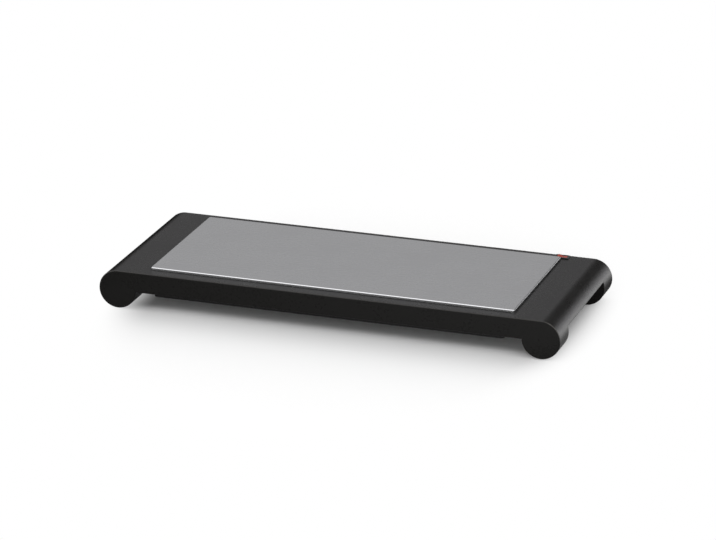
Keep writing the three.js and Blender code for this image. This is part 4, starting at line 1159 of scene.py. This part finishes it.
def make_world():
    """White to the eye, a soft fill for matt surfaces that is weaker from right above, and its own
    picture of the surroundings for reflections."""
    world = bpy.data.worlds.new("studio")
    bpy.context.scene.world = world
    world.use_nodes = True
    tree = world.node_tree
    tree.nodes.clear()
    rays = tree.nodes.new("ShaderNodeLightPath").outputs
    way = tree.nodes.new("ShaderNodeTexCoord").outputs["Generated"]
    height = node(tree, "ShaderNodeSeparateXYZ", None, Vector=way).outputs["Z"]
    fall = product(tree, ramp(tree, height, *FILL_TURN), FILL_SIDES - FILL_TOP)
    fill = maths(tree, "SUBTRACT", FILL_SIDES, fall)
    shown = maths(tree, "MAXIMUM", rays["Is Glossy Ray"], rays["Is Transmission Ray"])
    mirrored = plain(tree, SKY, reflected_sky(tree, way), SHEEN_COLOR)
    unseen = mixed(tree, shown, plain(tree, SKY, fill), mirrored)
    out = tree.nodes.new("ShaderNodeOutputWorld")
    tree.links.new(mixed(tree, rays["Is Camera Ray"], unseen, plain(tree, SKY, 1.0)), out.inputs["Surface"])


def within(tree, across, depth, ends, sides, level):
    """A level inside a soft-edged rectangle about the middle, and 0 outside it."""
    return product(
        tree,
        ramp(tree, maths(tree, "ABSOLUTE", across), *ends, rising=False),
        ramp(tree, maths(tree, "ABSOLUTE", depth), *sides, rising=False),
        level,
    )


def seen_floor(tree, place, across, depth):
    """The floor to the eye: it holds the object's shadow, carries a painted shadow right under the object
    and fades to white away from it."""
    away = place
    for operation, amount in (("SUBTRACT", FLOOR_SHADOW_MIDDLE), ("DIVIDE", FLOOR_SHADOW_REACH)):
        away = node(tree, "ShaderNodeVectorMath", {"operation": operation}, i0=away, i1=amount).outputs[0]
    distance = node(tree, "ShaderNodeVectorMath", {"operation": "LENGTH"}, i0=away).outputs["Value"]
    # Painted shadow: the floor's colour made darker right under the object.
    painted_shadow = within(tree, across, depth, FLOOR_PAINTED_SHADOW_ENDS, FLOOR_PAINTED_SHADOW_SIDES, FLOOR_PAINTED_SHADOW)
    shadow = mixed(tree, painted_shadow, plain(tree, MATT, FLOOR_COLOR), plain(tree, MATT, 0.0))
    return mixed(tree, ramp(tree, distance, *FLOOR_FADE), shadow, plain(tree, GLOW, 1.0))


def mirrored_floor(tree, across, depth):
    """The floor in reflections: dark at the far left and the rear, brighter again to the right, and
    bright past the right end."""
    beside = maths(tree, "MULTIPLY", ramp(tree, across, *FLOOR_DARK_RIGHT), FLOOR_DARK_SHARE)
    slope = maths(tree, "MULTIPLY", ramp(tree, across, *FLOOR_SLOPE, rising=False), FLOOR_SLOPE_SHARE)
    lit = product(
        tree,
        maths(tree, "SUBTRACT", 1.0, slope),
        ramp(tree, across, *FLOOR_DARK_LEFT),
        ramp(tree, depth, *FLOOR_DARK_REAR, rising=False),
        maths(tree, "SUBTRACT", 1.0, beside),
    )
    near = mixed(tree, lit, plain(tree, MATT, 0.0), plain(tree, MATT, FLOOR_DIM))
    bright = product(tree, ramp(tree, across, *FLOOR_BRIGHT_RIGHT), FLOOR_BRIGHT)
    return added(tree, near, plain(tree, GLOW, bright))


def make_floor():
    """A pale floor that is clear from below, with a glow from its middle that lights the underside of
    the object."""
    floor = loft("floor", [
        standing(circle(0, 0, FLOOR_RADIUS, LARGE_SIDES), "Z", -FLOOR_THICKNESS),
        standing(circle(0, 0, FLOOR_RADIUS, LARGE_SIDES), "Z", 0),
    ])
    material = bpy.data.materials.new("pale_floor")
    material.use_nodes = True
    tree = material.node_tree
    tree.nodes.clear()
    rays = tree.nodes.new("ShaderNodeLightPath").outputs
    place = tree.nodes.new("ShaderNodeNewGeometry").outputs
    across, depth, height = node(tree, "ShaderNodeSeparateXYZ", None, Vector=place["Position"]).outputs
    underside = maths(tree, "LESS_THAN", height, -FLOOR_THICKNESS * MM / 2)
    below = maths(tree, "MAXIMUM", place["Backfacing"], underside)
    clear = tree.nodes.new("ShaderNodeBsdfTransparent").outputs[0]
    from_eye = mixed(tree, below, seen_floor(tree, place["Position"], across, depth), clear)
    mirrored = mirrored_floor(tree, across, depth)
    bounced = mixed(tree, rays["Is Glossy Ray"], plain(tree, MATT, FLOOR_BOUNCE), mirrored)
    under = within(tree, across, depth, FLOOR_UNDER_ENDS, FLOOR_UNDER_SIDES, FLOOR_UNDER)
    unseen = added(tree, bounced, plain(tree, GLOW, under))
    seen = maths(tree, "MAXIMUM", rays["Is Camera Ray"], rays["Is Transmission Ray"])
    out = tree.nodes.new("ShaderNodeOutputMaterial")
    tree.links.new(mixed(tree, seen, unseen, from_eye), out.inputs["Surface"])
    floor.data.materials.append(material)


make_camera()
make_world()
make_floor()
bpy.context.scene.view_settings.view_transform = "Standard"
